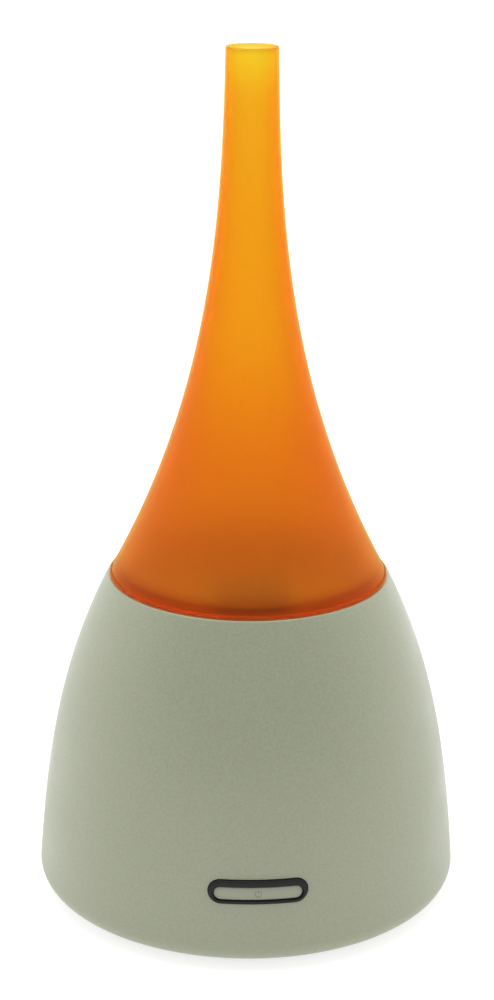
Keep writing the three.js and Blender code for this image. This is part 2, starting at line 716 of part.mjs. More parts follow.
function addMainBoard(group) {
  const top = BOARD + 0.05; // parts stand on the board's upper face
  const rearLeg = [0, LEG_CIRCLE_R];
  const plate = block([-MAIN_HALF_WIDTH, MAIN_HALF_WIDTH], [MAIN_FRONT_Y, 47.5], [0, BOARD]);
  const outline = disc(MAIN_R, -1, BOARD + 1, 0, 0, ROUND);
  const holes = MAIN_POSTS.map(([x, y]) => disc(1.5, -1, 3, x, y, TINY_ROUND));
  const legHole = disc(LEG_R + 1, -1, 3, ...rearLeg);
  add(group, "main_board", cut(plate.intersect(outline), [legHole, ...holes]), "board");
  const screw = makeScrewDown(2.6, 1.5, 1.2, 7);
  addScrews(group, "board_screw", MAIN_POSTS, top, screw);

  const box = (width, depth, height) =>
    block([-width / 2, width / 2], [-depth / 2, depth / 2], [0, height]);
  const stand = (name, solid, materialName, x, y) =>
    add(group, name, solid, materialName).position.set(x, y, top);
  const header = (width) => {
    const inside = [0.8 - width / 2, width / 2 - 0.8];
    return box(width, 5, 6.5).subtract(block(inside, [-1.7, 1.7], [2, 8]));
  };

  stand("heat_sink", makeHeatSink(), "aluminium", -24, 13.5);
  stand("power_transistor", makeTransistor(), "black", -24, 21.2);
  stand("inductor", makeInductor(), "copper", -17, 36);
  stand("capacitor_large", makeCapacitor(5, 13), "darkPlastic", 17, 34);
  stand("capacitor_small", makeCapacitor(3.6, 9), "darkPlastic", 26.5, 22.5);
  stand("controller_chip", box(10, 6.5, 2.2), "black", 1, 20);
  stand("fan_connector", header(6.5), "connector", 8, 10);
  stand("button_connector", header(9), "connector", 18.5, 10);
  stand("transducer_connector", header(6.5), "connector", -9, 11);
  stand("led_connector", header(6.5), "connector", 14, 20);
  add(group, "dc_jack", makeJack(top), "black");
}

function makeHeatSink() {
  const back = block([-9, 9], [2.2, 4.4], [0, 17]);
  const fins = steps(-8.2, 8.2, 5).map((x) => block([x - 0.8, x + 0.8], [-4.4, 3], [0, 17]));
  return join([back, ...fins]);
}

function makeTransistor() {
  const body = block([-5, 5], [-2.6, 1.8], [4, 13]);
  const tab = block([-5, 5], [-2.6, -1.3], [12.5, 17.5]).subtract(plug(1.8, -4, 0, 0, 15.4, 12));
  const legs = [-2.5, 0, 2.5].map((x) => block([x - 0.45, x + 0.45], [-0.4, 0.3], [0, 4.5]));
  return join([body, tab, ...legs]);
}

function makeInductor() {
  const flange = 6.5;
  const winding = 5.3;
  return turned(
    [
      [0, 0],
      [flange, 0],
      [flange, 1.6],
      [winding, 2],
      [winding, 8.4],
      [flange, 8.8],
      [flange, 10.4],
      [0, 10.4],
    ],
    16,
  );
}

function makeCapacitor(radius, height) {
  return turned(
    [
      [0, 0],
      [radius, 0],
      [radius, 1.2],
      [radius - 0.4, 1.7],
      [radius, 2.2],
      [radius, height - 0.4],
      [radius - 0.4, height],
      [0, height],
    ],
    14,
  );
}

// A barrel socket. Its heights are above the main board's underside.
function makeJack(low) {
  const axis = JACK.z - MAIN_Z;
  const body = block([-4.6, 4.6], [JACK.back, JACK.front - 2.4], [low, axis + 5.4]);
  const nose = plug(JACK.noseR, JACK.front - 3, JACK.front, 0, axis, 16);
  const bore = plug(JACK.boreR, JACK.front - 10, JACK.front + 1, 0, axis, 16);
  const pin = plug(1, JACK.front - 11, JACK.front - 1, 0, axis, TINY_ROUND);
  return body.add(nose).subtract(bore).add(pin);
}

// ---------------------------------------------------------------- leads

function addLeads(group) {
  const boardTop = MAIN_Z + BOARD + 7.2;
  add(
    group,
    "fan_lead",
    lead([[16, -0.3, 11], [15, 2, 16], [11, 5, 22.5], [8, 9, 24], [8, 10, boardTop]]),
    "wire",
  );
  add(
    group,
    "button_lead",
    lead([
      [13, -42.1, 28],
      [18, -40.5, 28],
      [23.2, -34, 24],
      [23.3, -14, 17],
      [21, 3, 21],
      [18.8, 8.6, 24.5],
      [18.5, 10, boardTop],
    ]),
    "wire",
  );
  add(
    group,
    "transducer_lead",
    lead([[0, 0, 43.1], [0, 0, 40], [-3, 3, 36], [-8, 8, 30], [-9, 11, boardTop]]),
    "wire",
  );
  add(
    group,
    "led_lead",
    lead([[22, 20, 40], [21.4, 20, 37], [16.5, 20, 28], [14, 20, boardTop]]),
    "wire",
  );
}

// ---------------------------------------------------------------- the whole object

const base = subgroup(humidifier);
add(base, "outer_shell", makeShell(), "sage");
add(base, "water_bowl", makeBowl(), "bowlPlastic");
add(base, "bowl_gasket", ring(37.7, 36.3, LEDGE_Z + 0.1, LEDGE_Z + 1.1), "silicone");
add(base, "air_hood", makeHood(), "darkPlastic");
add(base, "air_duct", makeDuct(), "darkPlastic");
add(base, "bottom_cover", makeCover(), "darkPlastic");

const foot = disc(FOOT_R, 0, SHELL_BOTTOM_Z + 0.7, 0, 0, 16);
FOOT_ANGLES.forEach((degrees, i) => {
  add(base, `foot_${i + 1}`, foot, "rubber").position.set(...atAngle(FOOT_CIRCLE_R, degrees), 0);
});
const legPlaces = LEG_ANGLES.map((degrees) => atAngle(LEG_CIRCLE_R, degrees));
addScrews(base, "cover_screw", legPlaces, 3.6, makeScrew(2.9, 1.7, 1.4, 13));

addTransducer(base);
addLamp(subgroup(base, LAMP.x, LAMP.y, 0));
addFan(subgroup(base, FAN.x, FAN.y, FAN.z));
addScrews(base, "fan_screw", FAN_CORNERS, FAN.z + FAN.height + 1.7, makeScrewDown(2.7, 1.5, 1.3, 15));
addButton(base);
addMainBoard(subgroup(base, 0, 0, MAIN_Z));
addLeads(base);

add(humidifier, "mist_horn", makeHorn(), "amber");

export default humidifier;
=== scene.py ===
# Looks of the cool mist humidifier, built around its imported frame.
# Blender works in metres. Outlines are written in millimetres and scaled by MM as they become meshes.
# +Z is up, the power button faces -Y and the supply socket faces +Y.

import json
import math

import bmesh
import bpy
from mathutils import Matrix, Vector


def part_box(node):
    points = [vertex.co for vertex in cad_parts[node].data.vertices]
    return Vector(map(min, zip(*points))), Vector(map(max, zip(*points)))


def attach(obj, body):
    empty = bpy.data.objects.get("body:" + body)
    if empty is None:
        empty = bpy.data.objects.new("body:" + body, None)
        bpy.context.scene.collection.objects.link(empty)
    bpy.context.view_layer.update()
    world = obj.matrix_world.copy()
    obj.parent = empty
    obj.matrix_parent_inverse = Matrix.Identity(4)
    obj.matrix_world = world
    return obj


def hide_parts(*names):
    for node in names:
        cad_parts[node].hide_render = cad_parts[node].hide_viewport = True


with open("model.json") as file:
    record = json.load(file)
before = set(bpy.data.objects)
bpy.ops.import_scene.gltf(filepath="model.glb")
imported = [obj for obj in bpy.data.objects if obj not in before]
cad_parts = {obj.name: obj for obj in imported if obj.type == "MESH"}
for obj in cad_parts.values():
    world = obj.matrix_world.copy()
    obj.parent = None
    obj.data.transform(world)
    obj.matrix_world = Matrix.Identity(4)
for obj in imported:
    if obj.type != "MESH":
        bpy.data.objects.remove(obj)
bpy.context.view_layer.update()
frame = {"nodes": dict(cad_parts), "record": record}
nodes = frame["nodes"]

MM = 0.001
FINE = 160  # segments round a large turned piece
MEDIUM = 64  # segments round a small turned piece
SLOTS = {part["node"]: part["material_slot"] for part in frame["record"]["subparts"]}
BODIES = frame["record"]["behaviour"]["bodies"]
BODY_OF = {node: body for body, members in BODIES.items() for node in members}


def low(node):
    """A CAD node's lowest corner in millimetres."""
    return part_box(node)[0] / MM


def high(node):
    """A CAD node's highest corner in millimetres."""
    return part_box(node)[1] / MM


def middle(node):
    return (low(node) + high(node)) / 2


# ------------------------ driving dimensions, in millimetres

HEIGHT = high("mist_horn").z
SHELL_BOTTOM = low("outer_shell").z
LIP_Z = high("outer_shell").z
RIM_Z = LIP_Z + 0.2  # where the outlines of the horn and the shell meet
SHELL_TOP_R, SHELL_DRAFT, SHELL_BULGE, SHELL_CURVE = 39.6, 6.9, 14.0, 2.85
SHELL_WALL = 2.6
SHELL_BORE_R = 54.4
SHELL_FOOT_ROUND = 5.4
MOUTH_R, NECK_DRAFT, HORN_FLARE, HORN_CURVE = 7.1, 2.6, 29.4, 2.63
HORN_WALL_MOUTH, HORN_WALL_RIM = 1.5, 2.3
HORN_FLOOR = RIM_Z + 0.1
HORN_BEAD_R, HORN_BEAD = high("mist_horn").x, 0.8  # the rolled edge of the rim
HORN_FLANGE = 1.6
HORN_SKIRT_R, HORN_SKIRT_WALL = 33.5, 1.8
BOWL_TOP = high("water_bowl").z
BOWL_TOP_R = 34.0
BOWL_FLANGE_R, BOWL_FLANGE = high("water_bowl").x, 1.4
LEDGE_Z, LEDGE_UNDERSIDE = low("bowl_gasket").z - 0.1, 87.9  # the shell's ledge under that flange
SHELL_MOUTH_R = 36.6
BUTTON_Z = middle("button_bezel").z
BEZEL_WIDTH, BEZEL_HEIGHT, BEZEL_PROUD = 26.8, 6.5, 0.8
KEY_Z = middle("power_button").z
KEY_WIDTH, KEY_HEIGHT, KEY_PROUD = 24, 3.5, 0.3
KEY_GAP = 0.2
WINDOW = (BEZEL_WIDTH + 2 * KEY_GAP, BEZEL_HEIGHT + 2 * KEY_GAP)
SYMBOL_R, SYMBOL_STROKE = 0.85, 0.22
SOCKET_Z, SOCKET_HOLE_R = 19.3, 5.5
LEG_CIRCLE_R, LEG_R = 30.6, 4.2
LEG_ANGLES = (0, 90, 180)
FOOT_CIRCLE_R = 45
FOOT_ANGLES = (45, 135, 225, 315)


def shell_radius(z):
    down = (RIM_Z - z) / (RIM_Z - SHELL_BOTTOM)
    return SHELL_TOP_R + SHELL_DRAFT * down + SHELL_BULGE * (1 - (1 - down) ** SHELL_CURVE)


def horn_radius(z):
    down = (HEIGHT - z) / (HEIGHT - RIM_Z)
    return MOUTH_R + NECK_DRAFT * down + HORN_FLARE * down**HORN_CURVE


def horn_wall(z):
    down = (HEIGHT - z) / (HEIGHT - RIM_Z)
    return HORN_WALL_MOUTH + (HORN_WALL_RIM - HORN_WALL_MOUTH) * down


def steps(start, end, count):
    """Numbers from start to end in equal steps, both included."""
    return [start + (end - start) * i / count for i in range(count + 1)]


def polar(radius, degrees):
    angle = math.radians(degrees)
    return radius * math.cos(angle), radius * math.sin(angle)


# ------------------------ mesh tools


def rounded(corners, arc_steps=4):
    """A closed outline through corners (u, v, size), with each corner rounded to its size."""
    outline = []
    for i, (u, v, size) in enumerate(corners):
        corner = Vector((u, v))
        if not size:
            outline.append(corner)
            continue
        back = (Vector(corners[i - 1][:2]) - corner).normalized()
        ahead = (Vector(corners[(i + 1) % len(corners)][:2]) - corner).normalized()
        half = back.angle(ahead) / 2
        centre = corner + (back + ahead).normalized() * size / math.sin(half)
        first = corner + back * size / math.tan(half)
        last = corner + ahead * size / math.tan(half)
        for share in steps(0, 1, arc_steps):
            outline.append(centre + (first.lerp(last, share) - centre).normalized() * size)
    return outline


def drum(radius, start, end, start_round, end_round, arc_steps=4):
    """The outline of a solid cylinder along its axis, with its two edges rounded."""
    corners = [(0, start, 0), (radius, start, start_round), (radius, end, end_round), (0, end, 0)]
    return rounded(corners, arc_steps)


def ring_outline(node, inner, outer, round_by, arc_steps=4):
    """The outline of a ring as tall as its CAD node, with rounded edges."""
    z0, z1 = low(node).z, high(node).z
    corners = [(inner, z0), (outer, z0), (outer, z1), (inner, z1)]
    return rounded([(*corner, round_by) for corner in corners], arc_steps)


def object_from(bm, name):
    """Turns a bmesh in millimetres into an object in metres with smooth faces and sharp creases."""
    bmesh.ops.remove_doubles(bm, verts=bm.verts, dist=0.002)
    bmesh.ops.recalc_face_normals(bm, faces=bm.faces)
    bmesh.ops.scale(bm, verts=bm.verts, vec=(MM, MM, MM))
    mesh = bpy.data.meshes.new(name)
    bm.to_mesh(mesh)
    bm.free()
    smooth(mesh)
    piece = bpy.data.objects.new(name, mesh)
    bpy.context.scene.collection.objects.link(piece)
    return piece


def smooth(mesh, crease=35):
    mesh.shade_smooth()
    mesh.set_sharp_from_angle(angle=math.radians(crease))


def loops_to_faces(bm, loops, closed):
    """Joins neighbouring loops of vertices with quads. Closed also joins the last to the first."""
    rows = [[bm.verts.new(point) for point in loop] for loop in loops]
    pairs = list(zip(rows, rows[1:])) + ([(rows[-1], rows[0])] if closed else [])
    for here, there in pairs:
        count = len(here)
        for i in range(count):
            j = (i + 1) % count
            bm.faces.new((here[i], here[j], there[j], there[i]))
    return rows


def turned(name, outline, segments=FINE, at=(0, 0), along_y=False):
    """A closed outline of (radius, height) points turned about Z, or about Y when along_y is set."""
    bm = bmesh.new()
    loops = []
    for radius, height in outline:
        ring = []
        for i in range(segments):
            x, y = polar(radius, 360 * i / segments)
            ring.append((at[0] + x, height, at[1] + y) if along_y else (at[0] + x, at[1] + y, height))
        loops.append(ring)
    loops_to_faces(bm, loops, closed=True)
    return object_from(bm, name)


def prism(name, outline, start, end, along_y=False):
    """A closed outline pushed straight from start to end, along Z or along Y."""
    bm = bmesh.new()
    loops = []
    for level in (start, end):
        loops.append([(u, level, v) if along_y else (u, v, level) for u, v in outline])
    first, last = loops_to_faces(bm, loops, closed=False)
    bm.faces.new(first)
    bm.faces.new(last)
    return object_from(bm, name)


def rectangle(x, y, round_by=0.0):
    """The outline of a rectangle between two pairs of limits, with rounded corners."""
    (x0, x1), (y0, y1) = x, y
    corners = [(x0, y0, round_by), (x1, y0, round_by), (x1, y1, round_by), (x0, y1, round_by)]
    return rounded(corners, arc_steps=6)


def disc_outline(radius, at=(0, 0), segments=MEDIUM):
    points = (polar(radius, 360 * i / segments) for i in range(segments))
    return [(at[0] + x, at[1] + y) for x, y in points]


def block(name, x, y, z, round_by=0.0):
    return prism(name, rectangle(x, y, round_by), *z)


def apply_modifiers(piece):
    depsgraph = bpy.context.evaluated_depsgraph_get()
    mesh = bpy.data.meshes.new_from_object(piece.evaluated_get(depsgraph))
    piece.modifiers.clear()
    piece.data = mesh
    smooth(mesh)
    return piece


def combine(piece, others, operation):
    """Adds or cuts away other solids, one after the other, and deletes them."""
    for other in others:
        boolean = piece.modifiers.new(operation.lower(), "BOOLEAN")
        boolean.operation = operation
        boolean.solver = "EXACT"
        boolean.object = other
    apply_modifiers(piece)
    for other in others:
        bpy.data.objects.remove(other)
    return piece


def soften(piece, width, segments=2, angle=40):
    """Rounds every crease sharper than the angle by a small bevel."""
    bevel = piece.modifiers.new("soft edges", "BEVEL")
    bevel.width = width * MM
    bevel.segments = segments
    bevel.limit_method = "ANGLE"
    bevel.angle_limit = math.radians(angle)
    bevel.harden_normals = False
    return piece


def dress(piece, material, node, *more_nodes):
    """Gives a new piece its material, the body it rides on, and the CAD nodes it stands for."""
    piece.data.materials.clear()
    piece.data.materials.append(material)
    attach(piece, BODY_OF[node])
    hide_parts(node, *more_nodes)
    return piece


# ------------------------ materials


def new_material(name):
    """A node material: returns it with its node tree and its Principled shader."""
    material = bpy.data.materials.new(name)
    material.use_nodes = True
    tree = material.node_tree
    return material, tree, tree.nodes["Principled BSDF"]


def noise(tree, scale, detail=2.0, roughness=0.5, stretch=(1, 1, 1)):
    """A noise texture in object space; scale is in lumps per metre."""
    place = tree.nodes.new("ShaderNodeTexCoord")
    mapping = tree.nodes.new("ShaderNodeMapping")
    mapping.inputs["Scale"].default_value = stretch
    texture = tree.nodes.new("ShaderNodeTexNoise")
    texture.inputs["Scale"].default_value = scale
    texture.inputs["Detail"].default_value = detail
    texture.inputs["Roughness"].default_value = roughness
    tree.links.new(place.outputs["Object"], mapping.inputs["Vector"])
    tree.links.new(mapping.outputs["Vector"], texture.inputs["Vector"])
    return texture.outputs["Fac"]


def ramp(tree, factor, stops, easing="LINEAR"):
    """A colour ramp through (position, colour) stops."""
    node = tree.nodes.new("ShaderNodeValToRGB")
    node.color_ramp.interpolation = easing
    elements = node.color_ramp.elements
    while len(elements) < len(stops):
        elements.new(0.5)
    for element, (position, colour) in zip(elements, stops):
        element.position = position
        element.color = (*colour, 1)
    tree.links.new(factor, node.inputs["Fac"])
    return node.outputs["Color"]


def product(tree, first, second):
    """Two colours multiplied."""
    node = tree.nodes.new("ShaderNodeMix")
    node.data_type = "RGBA"
    node.blend_type = "MULTIPLY"
    node.inputs["Factor"].default_value = 1
    tree.links.new(first, node.inputs["A"])
    tree.links.new(second, node.inputs["B"])
    return node.outputs["Result"]


def grey(value):
    return (value, value, value)


def bump(tree, shader, height, strength, distance):
    node = tree.nodes.new("ShaderNodeBump")
    node.inputs["Strength"].default_value = strength
    node.inputs["Distance"].default_value = distance
    tree.links.new(height, node.inputs["Height"])
    tree.links.new(node.outputs["Normal"], shader.inputs["Normal"])


def spread(colour, share):
    """A colour's darker and lighter neighbours."""
    return [tuple(channel * scale for channel in colour) for scale in (1 - share, 1 + share)]


def moulded(name, colour, roughness, grain=1800, variation=0.06, relief=0.02, **settings):
    """Moulded plastic or rubber: a fine grain in its colour, roughness and relief."""
    material, tree, shader = new_material(name)
    fine = noise(tree, grain, detail=3)
    broad = noise(tree, 40, detail=2)
    dark, light = spread(colour, variation)
    tree.links.new(ramp(tree, fine, [(0.3, dark), (0.7, light)]), shader.inputs["Base Color"])
    worn = [(0.35, grey(roughness - 0.05)), (0.65, grey(roughness + 0.06))]
    tree.links.new(ramp(tree, broad, worn), shader.inputs["Roughness"])
    bump(tree, shader, fine, 0.35, relief * MM)
    for socket, value in settings.items():
        shader.inputs[socket.replace("_", " ")].default_value = value
    return material


def metal(name, colour, roughness, stretch=(1, 1, 1)):
    """Bare metal with fine drawn or tumbled marks."""
    material, tree, shader = new_material(name)
    marks = noise(tree, 900, detail=4, stretch=stretch)
    dark, light = spread(colour, 0.08)
    tree.links.new(ramp(tree, marks, [(0.3, dark), (0.7, light)]), shader.inputs["Base Color"])
    scatter = [(0.3, grey(roughness * 0.7)), (0.7, grey(roughness * 1.3))]
    tree.links.new(ramp(tree, marks, scatter), shader.inputs["Roughness"])
    bump(tree, shader, marks, 0.2, 0.01 * MM)
    shader.inputs["Metallic"].default_value = 1
    return material


# How the horn's colours change from its rim, at 0, to its mouth, at 1. Over the amber's own tint they
# paint light and shade: the thick rolled rim is painted deep red-orange, painted light makes the horn
# lighter and yellower towards the thin mouth, and a browner line of painted shade runs along its lip.
CLEAR_TINT_AND_PAINTED_LIGHT = (
    (0.0, (0.86, 0.5, 0.3)),
    (0.005, (0.86, 0.5, 0.3)),
    (0.009, (1.0, 0.95, 0.45)),
    (0.12, (0.96, 0.73, 0.38)),
    (0.5, (0.97, 0.88, 0.38)),
    (0.9, (0.94, 0.83, 0.33)),
    (0.988, (0.931, 0.98, 0.375)),
    (1.0, (0.8, 0.68, 0.2)),
)
FROST_SHARE = ((0.0, 0.38), (0.5, 0.2), (1.0, 0.15))
# The frosting's colours carry the same painted light and shade, and a darker band of painted shade just
# above the rim.
FROST_BACK_TINT_AND_PAINTED_LIGHT = (
    (0.0, (0.86, 0.13, 0.03)),
    (0.005, (0.86, 0.13, 0.03)),
    (0.009, (0.72, 0.16, 0.025)),
    (0.04, (1.0, 0.35, 0.05)),
    (0.5, (0.97, 0.32, 0.03)),
    (0.988, (0.97, 0.594, 0.03)),
    (1.0, (0.75, 0.42, 0.03)),
)
# The colours of light scattered through the frosting, with the same painted light and shade by height.
FROST_THROUGH_TINT_AND_PAINTED_LIGHT = (
    (0.0, (0.9, 0.25, 0.04)),
    (0.005, (0.9, 0.25, 0.04)),
    (0.009, (0.85, 0.35, 0.05)),
    (0.04, (1.0, 0.6, 0.08)),
    (1.0, (0.98, 0.7, 0.06)),
)


def amber_plastic():
    """Frosted amber: clear plastic that takes out blue and green along the light's way through it.

    The frosting scatters part of the light, half of it back and half through. Its sheen makes the
    flanks lighter and yellower, as they are in the photograph.
    """
    material, tree, shader = new_material("amber_plastic")
    frost = noise(tree, 2600, detail=3)
    grain = ramp(tree, frost, [(0.3, grey(0.93)), (0.7, grey(1))])
    place = tree.nodes.new("ShaderNodeTexCoord")
    split = tree.nodes.new("ShaderNodeSeparateXYZ")
    tree.links.new(place.outputs["Object"], split.inputs["Vector"])
    up = tree.nodes.new("ShaderNodeMapRange")
    up.inputs["From Min"].default_value = RIM_Z * MM
    up.inputs["From Max"].default_value = HEIGHT * MM
    tree.links.new(split.outputs["Z"], up.inputs["Value"])
    height = up.outputs["Result"]
    # The base colour follows height, with painted light and shade over the amber's own tint.
    tree.links.new(product(tree, ramp(tree, height, CLEAR_TINT_AND_PAINTED_LIGHT, "EASE"), grain), shader.inputs["Base Color"])
    tree.links.new(ramp(tree, frost, [(0.3, grey(0.7)), (0.7, grey(0.78))]), shader.inputs["Roughness"])
    bump(tree, shader, frost, 0.25, 0.01 * MM)
    shader.inputs["IOR"].default_value = 1.15
    shader.inputs["Transmission Weight"].default_value = 1
    shader.inputs["Sheen Weight"].default_value = 1
    shader.inputs["Sheen Roughness"].default_value = 0.35
    shader.inputs["Sheen Tint"].default_value = (1, 0.75, 0.2, 1)
    frosting = tree.nodes.new("ShaderNodeMixShader")
    frosting.inputs["Fac"].default_value = 0.5
    # The frosting's colours follow height too, with the same painted light and shade.
    for i, (kind, colours) in enumerate((("Diffuse", FROST_BACK_TINT_AND_PAINTED_LIGHT), ("Translucent", FROST_THROUGH_TINT_AND_PAINTED_LIGHT))):
        node = tree.nodes.new(f"ShaderNodeBsdf{kind}")
        tree.links.new(product(tree, ramp(tree, height, colours, "EASE"), grain), node.inputs["Color"])
        tree.links.new(node.outputs["BSDF"], frosting.inputs[i + 1])
    share = tree.nodes.new("ShaderNodeMixShader")
    by_height = [(at, grey(part)) for at, part in FROST_SHARE]
    tree.links.new(ramp(tree, height, by_height, "EASE"), share.inputs["Fac"])
    tree.links.new(shader.outputs["BSDF"], share.inputs[1])
    tree.links.new(frosting.outputs["Shader"], share.inputs[2])
    output = tree.nodes["Material Output"]
    tree.links.new(share.outputs["Shader"], output.inputs["Surface"])
    absorb = tree.nodes.new("ShaderNodeVolumeAbsorption")
    absorb.inputs["Color"].default_value = (0.97, 0.86, 0.4, 1)
    absorb.inputs["Density"].default_value = 1200
    tree.links.new(absorb.outputs["Volume"], output.inputs["Volume"])
    return material


def circuit_board():
    """Green solder mask with faint copper tracks under it."""
    material, tree, shader = new_material("circuit_board")
    tracks = noise(tree, 260, detail=0, stretch=(1, 4, 1))
    stops = [(0.46, (0.012, 0.1, 0.035)), (0.5, (0.03, 0.2, 0.07)), (0.54, (0.012, 0.1, 0.035))]
    tree.links.new(ramp(tree, tracks, stops), shader.inputs["Base Color"])
    tree.links.new(ramp(tree, tracks, [(0.4, grey(0.3)), (0.6, grey(0.42))]), shader.inputs["Roughness"])
    bump(tree, shader, tracks, 0.3, 0.03 * MM)
    return material


def clear_plastic():
    material, tree, shader = new_material("clear_plastic")
    haze = noise(tree, 300, detail=2)
    tree.links.new(ramp(tree, haze, [(0.3, grey(0.04)), (0.7, grey(0.12))]), shader.inputs["Roughness"])
    tree.links.new(
        ramp(tree, haze, [(0.3, (0.9, 0.94, 0.95)), (0.7, (0.96, 0.98, 0.98))]),
        shader.inputs["Base Color"],
    )
    shader.inputs["Transmission Weight"].default_value = 0.9
    shader.inputs["IOR"].default_value = 1.49
    return material


MATERIALS = {
    "amber_plastic": amber_plastic(),
    "sage_plastic": moulded(
        "sage_plastic", (0.313, 0.336, 0.231), 0.34, grain=1500, variation=0.07, relief=0.03, IOR=1.62
    ),
    "black_plastic": moulded(
        "black_plastic", (0.009, 0.011, 0.009), 0.5, variation=0.1, Specular_IOR_Level=0.3
    ),
    "dark_plastic": moulded("dark_plastic", (0.03, 0.032, 0.03), 0.5, variation=0.1),
    "grey_plastic": moulded("grey_plastic", (0.11, 0.115, 0.11), 0.5, variation=0.08),
    "bowl_plastic": moulded("bowl_plastic", (0.9, 0.9, 0.87), 0.35, variation=0.03),
    "clear_plastic": clear_plastic(),
    "silicone": moulded("silicone", (0.72, 0.72, 0.68), 0.5, variation=0.03),
    "rubber": moulded("rubber", (0.022, 0.022, 0.022), 0.75, relief=0.05),
    "steel": metal("steel", (0.6, 0.61, 0.63), 0.28),
    "brass": metal("brass", (0.75, 0.55, 0.25), 0.35),
    "ceramic_disc": metal("ceramic_disc", (0.72, 0.72, 0.7), 0.25, stretch=(5, 0.3, 1)),
    "ferrite": moulded("ferrite", (0.04, 0.04, 0.045), 0.55, variation=0.15),
    "copper": metal("copper", (0.7, 0.3, 0.14), 0.32, stretch=(0.2, 0.2, 6)),
    "aluminium": metal("aluminium", (0.62, 0.63, 0.65), 0.38, stretch=(1, 1, 0.08)),
    "circuit_board": circuit_board(),
    "connector": moulded("connector", (0.78, 0.74, 0.62), 0.45, variation=0.04),
    "wire": moulded("wire", (0.35, 0.02, 0.02), 0.4, variation=0.08),
    "black_wire": moulded("black_wire", (0.02, 0.02, 0.02), 0.4, variation=0.08),
    "key_plastic": moulded("key_plastic", (0.33, 0.345, 0.255), 0.3, variation=0.04),
    "symbol_ink": moulded("symbol_ink", (0.2, 0.205, 0.16), 0.5, variation=0.05),
}


# ------------------------ horn


def make_horn():
    flange_top = HORN_FLOOR + HORN_FLANGE
    foot = RIM_Z - 0.12  # the rolled rim reaches almost to the shell's lip
    bead_top = HORN_FLOOR + HORN_BEAD
    root = HORN_FLOOR + 1.1  # where the bead has run out into the horn's side
    lip_start = HEIGHT - 1
    rim = rounded(
        [
            (HORN_SKIRT_R + 4, foot, 0),
            (HORN_BEAD_R, foot, 0.25),
            (HORN_BEAD_R, bead_top, 0.5),
            (horn_radius(root), bead_top, 0.1),
            (horn_radius(root + 1), root + 1, 0),
        ],
        6,
    )[1:-1]
    outside = [(horn_radius(z), z) for z in steps(root, lip_start, 56)]
    lip = rounded(
        [
            (horn_radius(lip_start), lip_start, 0),
            (MOUTH_R, HEIGHT, 0.3),
            (MOUTH_R - HORN_WALL_MOUTH, HEIGHT, 0.5),
            (horn_radius(lip_start) - horn_wall(lip_start), lip_start, 0),
        ],
        6,
    )[1:-1]
    inside = [(horn_radius(z) - horn_wall(z), z) for z in steps(lip_start, flange_top + 0.5, 48)]
    inner = HORN_SKIRT_R - HORN_SKIRT_WALL
    skirt_low = low("mist_horn").z
    skirt = rounded(
        [
            (inner + 1.2, flange_top, 0.5),
            (inner, flange_top, 0.4),
            (inner, skirt_low, 0.4),
            (HORN_SKIRT_R, skirt_low, 0.6),
            (HORN_SKIRT_R, HORN_FLOOR, 0.3),
            (HORN_SKIRT_R + 3, HORN_FLOOR, 0),
            (HORN_SKIRT_R + 3.5, foot, 0),
        ]
    )
    outline = [*rim, *outside, *lip, *inside, *skirt]
    return dress(turned("mist_horn_moulding", outline), MATERIALS["amber_plastic"], "mist_horn")


# ------------------------ shell


def pill(width, height, centre_z, arc_steps=14, side_steps=24):
    """The outline of a level pill as (x, z) points."""
    radius = height / 2
    reach = width / 2 - radius
    points = []
    for side in (1, -1):
        for a in steps(-90, 90, arc_steps):
            x, z = polar(radius, a)
            points.append((side * (reach + x), side * z))
        for share in steps(0, 1, side_steps)[1:-1]:
            points.append((side * reach * (1 - 2 * share), side * radius))
    return [(x, centre_z + z) for x, z in points]


def make_shell():
    turn_z = SHELL_BOTTOM + SHELL_FOOT_ROUND
    turn_r = shell_radius(turn_z) - SHELL_FOOT_ROUND
    foot = [
        (turn_r + SHELL_FOOT_ROUND * math.cos(a), turn_z + SHELL_FOOT_ROUND * math.sin(a))
        for a in map(math.radians, steps(-90, -4, 12))
    ]
    lip_start = LIP_Z - 0.7
    seat_r = BOWL_FLANGE_R + 0.3
    side = [(shell_radius(z), z) for z in steps(turn_z, lip_start, 64)]
    lip = rounded(
        [
            (shell_radius(lip_start), lip_start, 0),
            (shell_radius(LIP_Z) - 0.05, LIP_Z, 0.45),
            (seat_r, LIP_Z, 0.2),
            (seat_r, LEDGE_Z, 0),
            (SHELL_MOUTH_R, LEDGE_Z, 0.3),
            (SHELL_MOUTH_R, LEDGE_UNDERSIDE, 0.5),
            (shell_radius(LEDGE_UNDERSIDE) - SHELL_WALL, LEDGE_UNDERSIDE, 0),
        ]
    )[1:]
    inside = [(min(shell_radius(z) - SHELL_WALL, SHELL_BORE_R), z) for z in steps(87, 30, 24)]
    bottom = rounded(
        [(SHELL_BORE_R, 20, 0), (SHELL_BORE_R, SHELL_BOTTOM, 0.4), (turn_r, SHELL_BOTTOM, 0)]
    )[:-1]
    outline = [*foot, *side, *lip, *inside, *bottom]
    shell = turned("outer_shell_moulding", outline, segments=192)
    tabs = []
    near, far, half_width = 51.5, 54.9, 4  # the tabs stand in from the bore, over the cover's edge
    for a in FOOT_ANGLES:
        out, across = Vector(polar(1, a)), Vector(polar(1, a + 90))
        corners = ((near, -half_width), (far, -half_width), (far, half_width), (near, half_width))
        tabs.append(prism("tab", [out * u + across * v for u, v in corners], 4.2, 12.2))
    combine(shell, tabs, "UNION")
    window = prism("window", pill(*WINDOW, BUTTON_Z), -70, -45, along_y=True)
    jack = middle("dc_jack")
    socket = prism("socket", disc_outline(SOCKET_HOLE_R, (jack.x, SOCKET_Z)), 50, 70, along_y=True)
    combine(shell, [window, socket], "DIFFERENCE")
    soften(shell, 0.25)
    return dress(shell, MATERIALS["sage_plastic"], "outer_shell")


# ------------------------ power button


def on_front(x, z, out):
    """The point in front of (x, z) that stands proud of the shell's surface by out."""
    radius = shell_radius(z) + out
    return (x, -math.sqrt(radius**2 - x**2), z)


